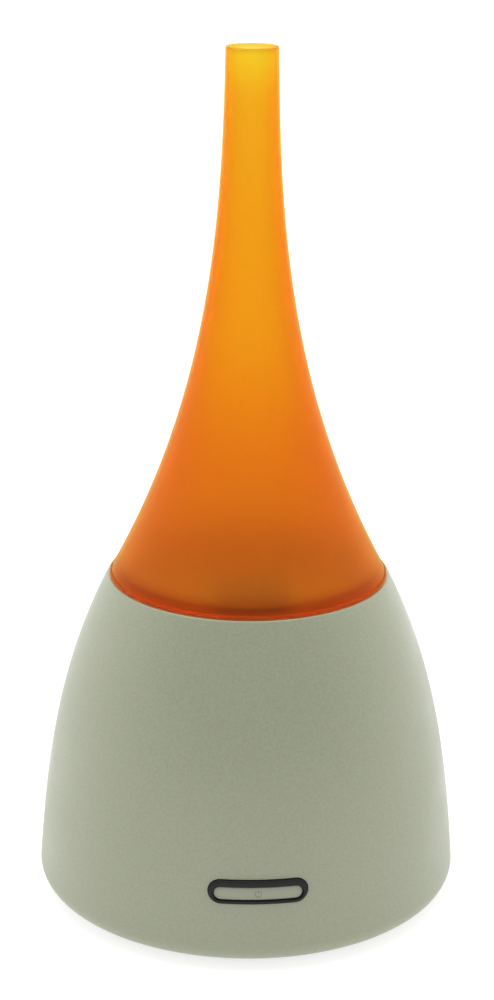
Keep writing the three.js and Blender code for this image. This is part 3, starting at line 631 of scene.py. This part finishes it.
def make_bezel():
    """A ring that follows the shell's curve, and the flange that holds it from behind."""
    hole_width, hole_height = KEY_WIDTH + 2 * KEY_GAP, KEY_HEIGHT + 2 * KEY_GAP
    outer = pill(BEZEL_WIDTH, BEZEL_HEIGHT, BUTTON_Z)
    inner = pill(hole_width, hole_height, KEY_Z)
    band = 1.3  # the width of the ring's profile, before it is fitted between the two outlines
    ring_back_r = 53.9
    depth = ring_back_r - shell_radius(BUTTON_Z)
    profile = rounded(
        [(0, depth, 0), (0, BEZEL_PROUD, 0.4), (band, BEZEL_PROUD, 0.25), (band, depth, 0)], 5
    )
    bm = bmesh.new()
    loops = []
    for across, out in profile:
        share = across / band
        outline = [Vector(a).lerp(Vector(b), share) for a, b in zip(outer, inner)]
        loops.append([on_front(x, z, out) for x, z in outline])
    loops_to_faces(bm, loops, closed=True)
    bezel = object_from(bm, "button_bezel_ring")
    back = high("button_bezel").y
    margin, slip = 3.4, 0.04
    flange_outline = pill(BEZEL_WIDTH + margin, BEZEL_HEIGHT + margin, BUTTON_Z)
    flange = prism("flange", flange_outline, -60, back, along_y=True)
    combine(flange, [rod("bore", SHELL_BORE_R - 0.3, (10, 34), (0, 0), FINE)], "INTERSECT")
    opening = pill(hole_width + slip, hole_height + slip, KEY_Z)
    combine(flange, [prism("opening", opening, -70, -40, along_y=True)], "DIFFERENCE")
    combine(bezel, [flange], "UNION")
    return dress(bezel, MATERIALS["black_plastic"], "button_bezel")


def make_key():
    """The button's face follows the shell's curve. Behind it is the flange that keeps it in."""
    crown, margin, thickness = 0.12, 2.4, 1.2
    proud = KEY_PROUD - 0.02
    back = high("power_button").y
    front = back - thickness
    flange = pill(KEY_WIDTH + margin, KEY_HEIGHT + margin, KEY_Z)
    loops = [[(x, y, z) for x, z in flange] for y in (back, front)]
    loops.append([(x, front, z) for x, z in pill(KEY_WIDTH, KEY_HEIGHT, KEY_Z)])
    half = KEY_HEIGHT / 2
    rim = rounded([(0, -2, 0), (0, proud - crown, 0.2), (half, proud, 0)], 5)[:-1]
    face = [(half * share, proud - crown * (1 - share) ** 2) for share in (0.3, 0.5, 0.75, 1)]
    for inset, out in [*rim, *face]:
        outline = pill(KEY_WIDTH - 2 * inset, KEY_HEIGHT - 2 * inset, KEY_Z)
        loops.append([on_front(x, z, out) for x, z in outline])
    bm = bmesh.new()
    rows = loops_to_faces(bm, loops, closed=False)
    bm.faces.new(rows[0])
    return dress(object_from(bm, "power_button_key"), MATERIALS["key_plastic"], "power_button")


def make_symbol():
    """The usual power symbol, an open ring with a bar, printed in the middle of the key."""
    ends = [SYMBOL_R - SYMBOL_STROKE / 2, SYMBOL_R + SYMBOL_STROKE / 2]
    arc = steps(125, 415, 40)  # open at the top
    ring = [polar(ends[1], a) for a in arc] + [polar(ends[0], a) for a in reversed(arc)]
    half = SYMBOL_STROKE / 2
    foot, tip = 0.1, SYMBOL_R + 0.1
    bar = [(-half, foot), (half, foot), (half, tip), (-half, tip)]
    depths = (0.2, 0.005)  # from inside the key to just above its face
    bm = bmesh.new()
    for outline in (ring, bar):
        loops = [[on_front(x, KEY_Z + z, KEY_PROUD - below) for x, z in outline] for below in depths]
        rows = loops_to_faces(bm, loops, closed=False)
        bm.faces.new(rows[0])
        bm.faces.new(rows[-1])
    symbol = dress(object_from(bm, "power_symbol"), MATERIALS["symbol_ink"], "power_button")


def make_plunger():
    radius = 1.75
    outline = drum(radius, low("switch_plunger").y, high("switch_plunger").y, 0.4, 0.2)
    plunger = turned("switch_plunger_pin", outline, MEDIUM, (0, BUTTON_Z), along_y=True)
    dress(plunger, MATERIALS["black_plastic"], "switch_plunger")


# ------------------------ water bowl and what stands in it

CHANNEL_X, CHANNEL_Y = (-7, 7), (-26.9, -20.4)
CHANNEL_WALL, CHANNEL_FOOT, CHANNEL_TOP = 1.5, 43, 86
WELL_R = 8.6  # the opening over the ultrasonic disc
SEAL_SEAT_R, SEAL_SEAT_Z = 11.9, 45.9
BOSS_R = 16.4
CLAMP_TOP = 40.8
LAMP = (18, 16)
LAMP_POSTS = ((25, 20), (25, 13.4))
CLAMP_PLACES = [polar(14.4, a) for a in (90, 210, 330)]
LEG_PLACES = [polar(LEG_CIRCLE_R, a) for a in LEG_ANGLES]


def channel(name, grow, z, round_by):
    x = (CHANNEL_X[0] - grow, CHANNEL_X[1] + grow)
    y = (CHANNEL_Y[0] - grow, CHANNEL_Y[1] + grow)
    return block(name, x, y, z, round_by)


def rod(name, radius, z, at, segments=MEDIUM):
    return prism(name, disc_outline(radius, at, segments), *z)


def make_bowl():
    leg_foot = low("water_bowl").z
    boss_z = leg_foot + 35.7
    flange_z = BOWL_TOP - BOWL_FLANGE
    lip_r = BOWL_TOP_R + 0.6
    outside = rounded(
        [
            (0, BOWL_TOP, 0),
            (0, boss_z, 0),
            (BOSS_R, boss_z, 0.6),
            (BOSS_R, 48.8, 1),
            (30, 52, 2.5),
            (34.9, 56.4, 3),
            (35.8, flange_z, 0.4),
            (BOWL_FLANGE_R, flange_z, 0.3),
            (BOWL_FLANGE_R, BOWL_TOP, 0.4),
        ],
        6,
    )
    inside = rounded(
        [
            (0, BOWL_TOP + 1, 0),
            (0, SEAL_SEAT_Z - 1, 0),
            (WELL_R, SEAL_SEAT_Z - 1, 0),
            (WELL_R, 48.2, 0.6),
            (10, 49, 1),
            (28.5, 53.2, 5),
            (31.6, 54.9, 1),
            (32.7, 58, 2.5),
            (BOWL_TOP_R, BOWL_TOP - 0.6, 0.3),
            (lip_r, BOWL_TOP + 0.02, 0),
            (lip_r, BOWL_TOP + 1, 0),
        ],
        6,
    )
    bowl = turned("water_bowl_moulding", outside)
    legs = [rod("leg", LEG_R, (leg_foot, 58), at) for at in LEG_PLACES]
    lamp_boss = rod("lamp_boss", 6.4, (46.4, 51.2), LAMP)
    posts = [rod("lamp_post", 1.5, (41.8, 56), at) for at in LAMP_POSTS]
    combine(bowl, [*legs, lamp_boss, *posts], "UNION")
    combine(bowl, [turned("water", inside)], "DIFFERENCE")
    walls = channel("channel_walls", CHANNEL_WALL, (CHANNEL_FOOT, CHANNEL_TOP), 1.2)
    combine(bowl, [walls], "UNION")
    holes = [
        channel("channel_passage", 0, (CHANNEL_FOOT - 1, CHANNEL_TOP + 1), 0.8),
        rod("seal_seat", SEAL_SEAT_R, (40, SEAL_SEAT_Z), (0, 0), FINE),
        rod("window_hole", 4.2, (46, 54), LAMP),
        *[rod("leg_pilot", 1.6, (4.3, 19.3), at) for at in LEG_PLACES],
        *[rod("clamp_pilot", 1.15, (40, 46.5), at) for at in CLAMP_PLACES],
    ]
    combine(bowl, holes, "DIFFERENCE")
    soften(bowl, 0.2)
    return dress(bowl, MATERIALS["bowl_plastic"], "water_bowl")


def make_hood():
    foot, top = low("air_hood").z, high("air_hood").z
    roof = top - 1.2
    hood = channel("air_hood_moulding", CHANNEL_WALL + 1.3, (foot, top), 2)
    tools = [
        channel("hood_socket", CHANNEL_WALL + 0.3, (foot - 1, CHANNEL_TOP + 0.3), 1.4),
        channel("hood_passage", 0, (CHANNEL_TOP - 1, roof), 0.8),
        block("hood_outlet", CHANNEL_X, (-22.4, -14.4), (88, roof), 0.5),
    ]
    combine(hood, tools, "DIFFERENCE")
    soften(hood, 0.35, segments=3)
    return dress(hood, MATERIALS["grey_plastic"], "air_hood")


def make_gasket():
    inner, outer = 36.3, 37.7
    outline = ring_outline("bowl_gasket", inner, outer, 0.3, 5)
    return dress(turned("bowl_gasket_ring", outline), MATERIALS["silicone"], "bowl_gasket")


def make_transducer():
    z0, z1 = low("transducer_disc").z, high("transducer_disc").z
    face_z = z1 - 0.12  # the disc's working face lies a little below its rim
    disc = rounded(
        [
            (0, z0, 0),
            (10, z0, 0.2),
            (10, z1, 0.2),
            (7.2, z1, 0.05),
            (7, face_z, 0.05),
            (0, face_z, 0),
        ]
    )
    dress(turned("transducer_disc_face", disc), MATERIALS["ceramic_disc"], "transducer_disc")
    inner, outer, groove = 8.8, 11.6, 10.2
    foot, top = 42.3, 45.7
    seal = rounded(
        [
            (inner, foot, 0.3),
            (outer, foot, 0.3),
            (outer, top, 0.5),
            (inner, top, 0.5),
            (inner, z1 + 0.1, 0),
            (groove, z1 + 0.1, 0),
            (groove, z0 - 0.1, 0),
            (inner, z0 - 0.1, 0),
        ]
    )
    dress(turned("transducer_seal_ring", seal), MATERIALS["silicone"], "transducer_seal")
    bottom, collar_top = CLAMP_TOP - 1.5, 42.2
    clamp_outline = rounded(
        [
            (7, bottom, 0.3),
            (15.9, bottom, 0.5),
            (15.9, CLAMP_TOP, 0.3),
            (11.4, CLAMP_TOP, 0.1),
            (11.4, collar_top, 0.3),
            (8.9, collar_top, 0.3),
            (8.9, CLAMP_TOP, 0.1),
            (7, CLAMP_TOP, 0.3),
        ]
    )
    clamp = turned("transducer_clamp_ring", clamp_outline)
    combine(clamp, [rod("hole", 1.3, (38, 42), at) for at in CLAMP_PLACES], "DIFFERENCE")
    dress(clamp, MATERIALS["dark_plastic"], "transducer_clamp")


def make_lamp():
    foot, shoulder, top = 45, 46.3, 52.2
    window = rounded(
        [
            (0, foot, 0),
            (5.6, foot, 0.2),
            (5.6, shoulder, 0.2),
            (4, shoulder, 0.1),
            (4, top, 0.4),
            (0, top, 0),
        ]
    )
    dress(turned("light_window_plug", window, MEDIUM, LAMP), MATERIALS["clear_plastic"], "light_window")
    rim_z, dome_z, dome_r = 41.8, 42.4, 2.4
    arc = map(math.radians, steps(0, 90, 12))
    dome = [(dome_r * math.cos(a), dome_z + dome_r * math.sin(a)) for a in arc]
    lamp = [(0, rim_z), (2.8, rim_z), (2.8, dome_z), *dome]
    dress(turned("led_lamp_lens", lamp, MEDIUM, LAMP), MATERIALS["clear_plastic"], "led_lamp")


# ------------------------ underside

FAN_AXIS = (0, -21)
FAN_HALF, FAN_HEIGHT, FAN_HOLE_AT = 20, 10, 16
FAN_CORNERS = [
    (FAN_HOLE_AT * side, FAN_AXIS[1] + FAN_HOLE_AT * end) for side in (-1, 1) for end in (-1, 1)
]
MAIN_POSTS = ((-29, 33), (29, 33), (28, 9.5))
COVER_THICKNESS = 2.4
SLOT_WIDTH = 2.2
GRILLE_R = 17.5


def slot_cutter(x, y, length):
    """A cutter for a slot with round ends that runs along Y."""
    end = SLOT_WIDTH / 2
    reach = length / 2 - end
    outline = []
    for side in (1, -1):
        for a in steps(0, 180, 8):
            u, v = polar(end, a)
            outline.append((x + side * u, y + side * (reach + v)))
    return prism("slot", outline, 0, 5)


def make_cover():
    z0 = low("bottom_cover").z
    top = z0 + COVER_THICKNESS
    radius = high("bottom_cover").x
    cover = turned("bottom_cover_plate", drum(radius, z0, top, 0.5, 0.3))
    sides = ((-19.4, -15.6), (15.6, 19.4))
    raised = [
        *[rod("leg_seat", 6.2, (top - 1, 5), at) for at in LEG_PLACES],
        *[rod("board_post", 3, (top - 1, 11.9), at) for at in MAIN_POSTS],
        *[rod("fan_post", 3.2, (top - 1, 7.9), at) for at in FAN_CORNERS],
        *[block("guide", side, (-46.4, -41.8), (top - 1, 24), 0.4) for side in sides],
    ]
    combine(cover, raised, "UNION")
    grooves = ((-17.3, -15), (15, 17.3))
    grille = [
        slot_cutter(x, FAN_AXIS[1], 2 * math.sqrt(GRILLE_R**2 - x**2)) for x in range(-15, 16, 5)
    ]
    vents = [slot_cutter(x, 17, 12) for x in range(-10, 11, 5)]
    feet = [polar(FOOT_CIRCLE_R, a) for a in FOOT_ANGLES]
    tools = [
        *[block("groove", groove, (-45.2, -43), (11.7, 25)) for groove in grooves],
        *[rod("screw_hole", 1.7, (0, 8), at) for at in LEG_PLACES],
        *[rod("counterbore", 3.4, (0, 3.7), at) for at in LEG_PLACES],
        *[rod("foot_seat", 5.8, (0, z0 + 0.8), at) for at in feet],
        *[rod("pilot", 1.55, (top - 0.6, 13), at) for at in (*MAIN_POSTS, *FAN_CORNERS)],
        *grille,
        *vents,
    ]
    combine(cover, tools, "DIFFERENCE")
    soften(cover, 0.2)
    return dress(cover, MATERIALS["dark_plastic"], "bottom_cover")


def make_feet():
    radius, height, hollow = 5.5, 2.2, 0.3
    outline = rounded(
        [
            (0, hollow, 0),
            (3.4, hollow, 0.1),
            (3.7, 0, 0.15),
            (radius, 0, 0.5),
            (radius, height, 0.2),
            (0, height, 0),
        ],
        5,
    )
    for i in range(len(FOOT_ANGLES)):
        node = f"foot_{i + 1}"
        centre = middle(node)
        foot = turned(f"{node}_pad", outline, MEDIUM, (centre.x, centre.y))
        dress(foot, MATERIALS["rubber"], node)


def make_screw(node, head_r, head_height, shank_r, points_up):
    """A cross-head screw with a domed head and a threaded shank, along its node's own axis."""
    bottom, top, centre = low(node), high(node), middle(node)
    length = top.z - bottom.z
    dome = rounded(
        [
            (0, 0, 0),
            (head_r * 0.7, 0, head_r * 0.3),
            (head_r, head_height * 0.5, 0.2),
            (head_r, head_height, 0.1),
            (shank_r, head_height, 0),
        ],
    )[:-1]
    pitch, root_r = shank_r * 0.75, shank_r * 0.8
    thread = []
    along = head_height + 0.2
    while along < length - shank_r * 1.6:
        thread += [(root_r, along), (shank_r, along + pitch * 0.5)]
        along += pitch
    tip = [(root_r, length - shank_r * 1.4), (0, length)]
    outline = [*dome, (root_r, head_height), *thread, *tip]
    start, way = (bottom.z, 1) if points_up else (top.z, -1)
    x, y = centre.x, centre.y
    screw = turned(f"{node}_body", [(r, start + way * u) for r, u in outline], 48, (x, y))
    arm, slot, depth = head_r * 0.62, head_r * 0.14, head_height * 0.65
    z = sorted((start - way, start + way * depth))
    cross = [
        block("recess", (x - arm, x + arm), (y - slot, y + slot), z),
        block("recess", (x - slot, x + slot), (y - arm, y + arm), z),
    ]
    combine(screw, cross, "DIFFERENCE")
    return dress(screw, MATERIALS["steel"], node)


def make_screws():
    # name, how many, (head radius, head height, shank radius), whether the head is at the bottom
    kinds = (
        ("cover_screw", 3, (2.9, 1.7, 1.4), True),
        ("transducer_screw", 3, (2, 1.3, 0.95), True),
        ("fan_screw", 4, (2.7, 1.5, 1.3), False),
        ("board_screw", 3, (2.6, 1.5, 1.2), False),
    )
    for name, count, sizes, points_up in kinds:
        for i in range(count):
            make_screw(f"{name}_{i + 1}", *sizes, points_up)


# ------------------------ fan


def make_fan():
    base_z = low("fan_frame").z
    x_span = (-FAN_HALF, FAN_HALF)
    y_span = (FAN_AXIS[1] - FAN_HALF, FAN_AXIS[1] + FAN_HALF)
    frame_piece = block("fan_frame_moulding", x_span, y_span, (base_z, base_z + FAN_HEIGHT), 3.5)
    through = (base_z - 1, base_z + FAN_HEIGHT + 1)
    combine(frame_piece, [rod("bore", 18.9, through, FAN_AXIS, FINE)], "DIFFERENCE")
    plate = (base_z, base_z + 1.2)
    struts = []
    for a in (30, 150, 270):
        along = Vector(polar(1, a))
        across = Vector((-along.y, along.x)) * 1.2
        start = Vector(FAN_AXIS)
        end = start + along * FAN_HALF
        outline = [start - across, end - across, end + across, start + across]
        struts.append(prism("strut", outline, *plate))
    hub = rod("hub", 9, plate, FAN_AXIS)
    tube = rod("tube", 2.9, (base_z, base_z + 6.6), FAN_AXIS)
    combine(frame_piece, [hub, *struts, tube], "UNION")
    holes = [rod("hole", 1.7, through, at) for at in FAN_CORNERS]
    bearing_hole = rod("bearing_hole", 2.25, (base_z + 0.8, base_z + 8), FAN_AXIS)
    combine(frame_piece, [*holes, bearing_hole], "DIFFERENCE")
    soften(frame_piece, 0.25)
    dress(frame_piece, MATERIALS["dark_plastic"], "fan_frame")
    rings = (
        ("fan_bearing_sleeve", "fan_bearing", 1.15, 2.15, "brass"),
        ("fan_magnet_ring", "fan_magnet", 7, 8.1, "ferrite"),
    )
    for name, node, inner, outer, material in rings:
        outline = ring_outline(node, inner, outer, 0.15)
        dress(turned(name, outline, MEDIUM, FAN_AXIS), MATERIALS[material], node)
    shaft = drum(1, low("fan_shaft").z, high("fan_shaft").z, 0.2, 0.2)
    dress(turned("fan_shaft_pin", shaft, MEDIUM, FAN_AXIS), MATERIALS["steel"], "fan_shaft")
    make_impeller(base_z)


BLADES = 7
BLADE_ROOT_R, BLADE_TIP_R = 9.1, 18.1
BLADE_HALF_CHORD = 4.5


def blade(turn, base_z):
    """A curved blade with thin edges, twisted from root to tip."""
    bm = bmesh.new()
    loops = []
    for share in steps(0, 1, 8):
        radius = BLADE_ROOT_R + (BLADE_TIP_R - BLADE_ROOT_R) * share
        lean = math.radians(38 + 14 * share)
        loop = []
        chords = steps(-1, 1, 10)
        for side, places in ((1, chords), (-1, chords[::-1][1:-1])):
            for u in places:
                thickness = 0.12 + 0.36 * math.sqrt(1 - u * u)
                camber = 0.7 * (1 - u * u)
                across = side * thickness + camber - 0.35
                along = BLADE_HALF_CHORD * u
                sideways = along * math.sin(lean) + across * math.cos(lean) + 1.2 * share
                height = 5.4 + along * math.cos(lean) - across * math.sin(lean)
                a = math.radians(turn) + sideways / radius
                x, y = radius * math.sin(a), -radius * math.cos(a)
                loop.append((FAN_AXIS[0] + x, FAN_AXIS[1] + y, base_z + height))
        loops.append(loop)
    rows = loops_to_faces(bm, loops, closed=False)
    bm.faces.new(rows[0])
    bm.faces.new(rows[-1])
    return object_from(bm, "blade")


def make_impeller(base_z):
    top, roof, skirt = 9.4, 7.9, 1.6  # heights above the frame's base
    shaft_top, shaft_r = 8.3, 1.2
    inner, outer = 8.4, 9.6
    cup = rounded(
        [
            (0, top, 0),
            (0, shaft_top, 0),
            (shaft_r, shaft_top, 0),
            (shaft_r, roof, 0),
            (inner, roof, 0.3),
            (inner, skirt, 0.2),
            (outer, skirt, 0.3),
            (outer, top, 1),
        ]
    )
    impeller = turned("fan_impeller_wheel", [(r, base_z + z) for r, z in cup], FINE, FAN_AXIS)
    blades = [blade(360 * i / BLADES, base_z) for i in range(BLADES)]
    combine(impeller, blades, "UNION")
    return dress(impeller, MATERIALS["black_plastic"], "fan_impeller")


# ------------------------ supply socket and board parts


def make_jack():
    bottom, top = low("dc_jack"), high("dc_jack")
    front = top.y
    nose_r, bore_r, pin_r = 4.2, 3.15, 1
    body = block("dc_jack_body", (-4.6, 4.6), (bottom.y, front - 2.4), (bottom.z, top.z), 0.4)
    nose_outline = drum(nose_r, front - 3, front, 0, 0.4, 6)
    nose = turned("nose", nose_outline, MEDIUM, (0, SOCKET_Z), along_y=True)
    combine(body, [nose], "UNION")
    bore_outline = rounded(
        [
            (0, front - 10, 0),
            (bore_r, front - 10, 0),
            (bore_r, front - 0.35, 0.1),
            (bore_r + 0.45, front + 0.05, 0),
            (bore_r + 0.45, front + 1, 0),
            (0, front + 1, 0),
        ]
    )
    combine(body, [turned("bore", bore_outline, MEDIUM, (0, SOCKET_Z), along_y=True)], "DIFFERENCE")
    soften(body, 0.2)
    dress(body, MATERIALS["black_plastic"], "dc_jack")
    pin_outline = drum(pin_r, front - 11, front - 1, 0, 0.6, 6)
    pin = turned("dc_jack_pin", pin_outline, MEDIUM, (0, SOCKET_Z), along_y=True)
    dress(pin, MATERIALS["steel"], "dc_jack")


def make_board_parts():
    for node in ("capacitor_large", "capacitor_small"):
        bottom, top, centre = low(node), high(node), middle(node)
        radius = (top.x - bottom.x) / 2
        z0, z1 = bottom.z, top.z
        outline = rounded(
            [
                (0, z0, 0),
                (radius, z0, 0.2),
                (radius, z0 + 1.1, 0.3),
                (radius - 0.4, z0 + 1.7, 0.3),
                (radius, z0 + 2.3, 0.3),
                (radius, z1, 0.5),
                (radius - 0.9, z1, 0.1),
                (radius - 1.1, z1 - 0.25, 0.1),
                (0, z1 - 0.25, 0),
            ]
        )
        piece = turned(f"{node}_can", outline, MEDIUM, (centre.x, centre.y))
        dress(piece, MATERIALS["dark_plastic"], node)
    node = "inductor"
    z0, z1, centre = low(node).z, high(node).z, middle(node)
    at = (centre.x, centre.y)
    radius, thickness = 6.5, 1.6
    for name, lower in (("inductor_lower_flange", z0), ("inductor_upper_flange", z1 - thickness)):
        flange = drum(radius, lower, lower + thickness, 0.3, 0.3)
        piece = dress(turned(name, flange, MEDIUM, at), MATERIALS["ferrite"], node)
    turns, coil_r, wire_r = 12, 4.9, 0.35
    pitch = (z1 - z0 - 3.3) / turns
    arc = [math.radians(a) for a in steps(-80, 80, 6)]
    coil = [(0, z0 + 1.62)]
    for i in range(turns):
        turn_z = z0 + 1.65 + pitch * (i + 0.5)
        coil += [(coil_r + wire_r * math.cos(a), turn_z + pitch / 2 * math.sin(a)) for a in arc]
    coil.append((0, z1 - 1.62))
    dress(turned("inductor_winding", coil, MEDIUM, at), MATERIALS["copper"], node)


# ------------------------ leads

WIRE_R, WIRE_OFFSET = 0.42, 0.44  # a lead is two wires side by side, each this far from its middle


def curve_through(points, per_span=12):
    """A smooth curve through the points, as a list of close points."""
    padded = [points[0] * 2 - points[1], *points, points[-1] * 2 - points[-2]]
    curve = []
    for p0, p1, p2, p3 in zip(padded, padded[1:], padded[2:], padded[3:]):
        for t in steps(0, 1, per_span)[:-1]:
            square = (2 * p0 - 5 * p1 + 4 * p2 - p3) * t**2
            cube = (3 * p1 - p0 - 3 * p2 + p3) * t**3
            curve.append(p1 + ((p2 - p0) * t + square + cube) / 2)
    return [*curve, points[-1]]


def wire(name, curve, offset, radius=WIRE_R, sides=14):
    """A round wire that follows the curve, moved sideways from it by the offset."""
    bm = bmesh.new()
    loops = []
    side = Vector((0, 0, 1)).cross(curve[1] - curve[0])
    side = (side if side.length > 1e-3 else Vector((1, 0, 0))).normalized()
    for i, point in enumerate(curve):
        along = (curve[min(i + 1, len(curve) - 1)] - curve[max(i - 1, 0)]).normalized()
        side = (side - along * side.dot(along)).normalized()
        up = along.cross(side)
        centre = point + side * offset
        turns = [polar(radius, 360 * k / sides) for k in range(sides)]
        loops.append([centre + side * u + up * v for u, v in turns])
    rows = loops_to_faces(bm, loops, closed=False)
    bm.faces.new(rows[0])
    bm.faces.new(rows[-1])
    return object_from(bm, name)


def make_leads():
    header = high("fan_connector").z + 0.65
    paths = {
        "fan_lead": [(16, -0.3, 11), (15, 2, 16), (11, 5, 22.5), (8, 9, 24), (8, 10, header)],
        "button_lead": [
            (13, -42.1, 28),
            (18, -40.5, 28),
            (23.2, -34, 24),
            (23.3, -14, 17),
            (21, 3, 21),
            (18.8, 8.6, 24.5),
            (18.5, 10, header),
        ],
        "transducer_lead": [(0, 0, 43.1), (0, 0, 40), (-3, 3, 36), (-8, 8, 30), (-9, 11, header)],
        "led_lead": [(22, 20, 40), (21.4, 20, 37), (16.5, 20, 28), (14, 20, header)],
    }
    for node, points in paths.items():
        curve = curve_through([Vector(point) for point in points])
        for name, side, material in (("positive", 1, "wire"), ("negative", -1, "black_wire")):
            piece = wire(f"{node}_{name}", curve, side * WIRE_OFFSET)
            dress(piece, MATERIALS[material], node)


# ------------------------ stage, light and camera

FLOOR_HALF = 6000  # millimetres from the floor's middle to its edge
FLOOR_GLOW = 0.75
FRONT_LIGHT, BACK_LIGHT = 0.48, 1.25  # the world's strength from the camera's side and from behind
CAMERA_SIDE = -0.0005
CAMERA_REACH = 0.607  # level distance from the humidifier's axis, in metres
CAMERA_HEIGHT = 0.3121
CAMERA_AZIMUTH = -3.25  # degrees round from the front, towards -X
CAMERA_PITCH = 18.04  # degrees down from level
CAMERA_ROLL = 0.436
CAMERA_LENS, CAMERA_SENSOR = 82.08, 36


def floor_paint():
    """Nearly even, with a faint mottle and a light of its own. From below it can be seen through."""
    material, tree, shader = new_material("floor_paint")
    mottle = noise(tree, 6, detail=2)
    dark, light = spread(grey(0.4), 0.01)
    tree.links.new(ramp(tree, mottle, [(0.3, dark), (0.7, light)]), shader.inputs["Base Color"])
    shader.inputs["Roughness"].default_value = 0.6
    shader.inputs["Emission Color"].default_value = (1, 1, 1, 1)
    shader.inputs["Emission Strength"].default_value = FLOOR_GLOW
    hole = tree.nodes.new("ShaderNodeBsdfTransparent")
    side = tree.nodes.new("ShaderNodeNewGeometry")
    share = tree.nodes.new("ShaderNodeMixShader")
    tree.links.new(side.outputs["Backfacing"], share.inputs["Fac"])
    tree.links.new(shader.outputs["BSDF"], share.inputs[1])
    tree.links.new(hole.outputs["BSDF"], share.inputs[2])
    tree.links.new(share.outputs["Shader"], tree.nodes["Material Output"].inputs["Surface"])
    return material


def make_stage():
    bm = bmesh.new()
    bmesh.ops.create_grid(bm, x_segments=2, y_segments=2, size=FLOOR_HALF)
    floor = object_from(bm, "floor")
    floor.data.materials.append(floor_paint())


def add_light(name, at, size, power, target=(0, 0, 0.1)):
    lamp = bpy.data.lights.new(name, "AREA")
    lamp.shape = "RECTANGLE"
    lamp.size, lamp.size_y = size
    lamp.energy = power
    light = bpy.data.objects.new(name, lamp)
    light.location = at
    light.rotation_euler = (Vector(target) - Vector(at)).to_track_quat("-Z", "Y").to_euler()
    bpy.context.scene.collection.objects.link(light)


def make_lights():
    """Bright paper behind and beside the humidifier, and a dimmer room in front of it."""
    world = bpy.data.worlds.new("studio")
    world.use_nodes = True
    tree = world.node_tree
    direction = tree.nodes.new("ShaderNodeTexCoord")
    split = tree.nodes.new("ShaderNodeSeparateXYZ")
    tree.links.new(direction.outputs["Generated"], split.inputs["Vector"])
    reach = tree.nodes.new("ShaderNodeMapRange")
    reach.interpolation_type = "SMOOTHSTEP"
    reach.inputs["From Min"].default_value = -0.75
    reach.inputs["From Max"].default_value = 0.25
    reach.inputs["To Min"].default_value = FRONT_LIGHT
    reach.inputs["To Max"].default_value = BACK_LIGHT
    tree.links.new(split.outputs["Y"], reach.inputs["Value"])
    tree.links.new(reach.outputs["Result"], tree.nodes["Background"].inputs["Strength"])
    tree.nodes["Background"].inputs["Color"].default_value = (1, 1, 1, 1)
    bpy.context.scene.world = world
    add_light("overhead", (0, 0.3, 1.4), (1.4, 1.0), 10)


def make_camera():
    camera = bpy.data.objects.new("camera", bpy.data.cameras.new("camera"))
    camera.data.lens = CAMERA_LENS
    camera.data.sensor_width = CAMERA_SENSOR
    turn = Matrix.Rotation(math.radians(CAMERA_AZIMUTH), 4, "Z")
    place = Matrix.Translation((CAMERA_SIDE, -CAMERA_REACH, CAMERA_HEIGHT))
    tilt = Matrix.Rotation(math.radians(90 - CAMERA_PITCH), 4, "X")
    roll = Matrix.Rotation(math.radians(CAMERA_ROLL), 4, "Z")
    camera.matrix_world = turn @ place @ tilt @ roll
    bpy.context.scene.collection.objects.link(camera)
    bpy.context.scene.camera = camera
    bpy.context.scene.view_settings.view_transform = "Standard"


# ------------------------ the rest of the CAD nodes


def dress_cad_nodes():
    """Nodes whose CAD shape is right keep it, with soft edges and their own material."""
    for name, node in nodes.items():
        if node.hide_render:
            continue
        node.data.materials.clear()
        node.data.materials.append(MATERIALS[SLOTS[name]])
        soften(node, 0.12)


make_stage()
make_lights()
make_camera()
make_horn()
make_shell()
make_bezel()
make_key()
make_symbol()
make_plunger()
make_bowl()
make_hood()
make_gasket()
make_transducer()
make_lamp()
make_cover()
make_feet()
make_screws()
make_fan()
make_jack()
make_board_parts()
make_leads()
dress_cad_nodes()
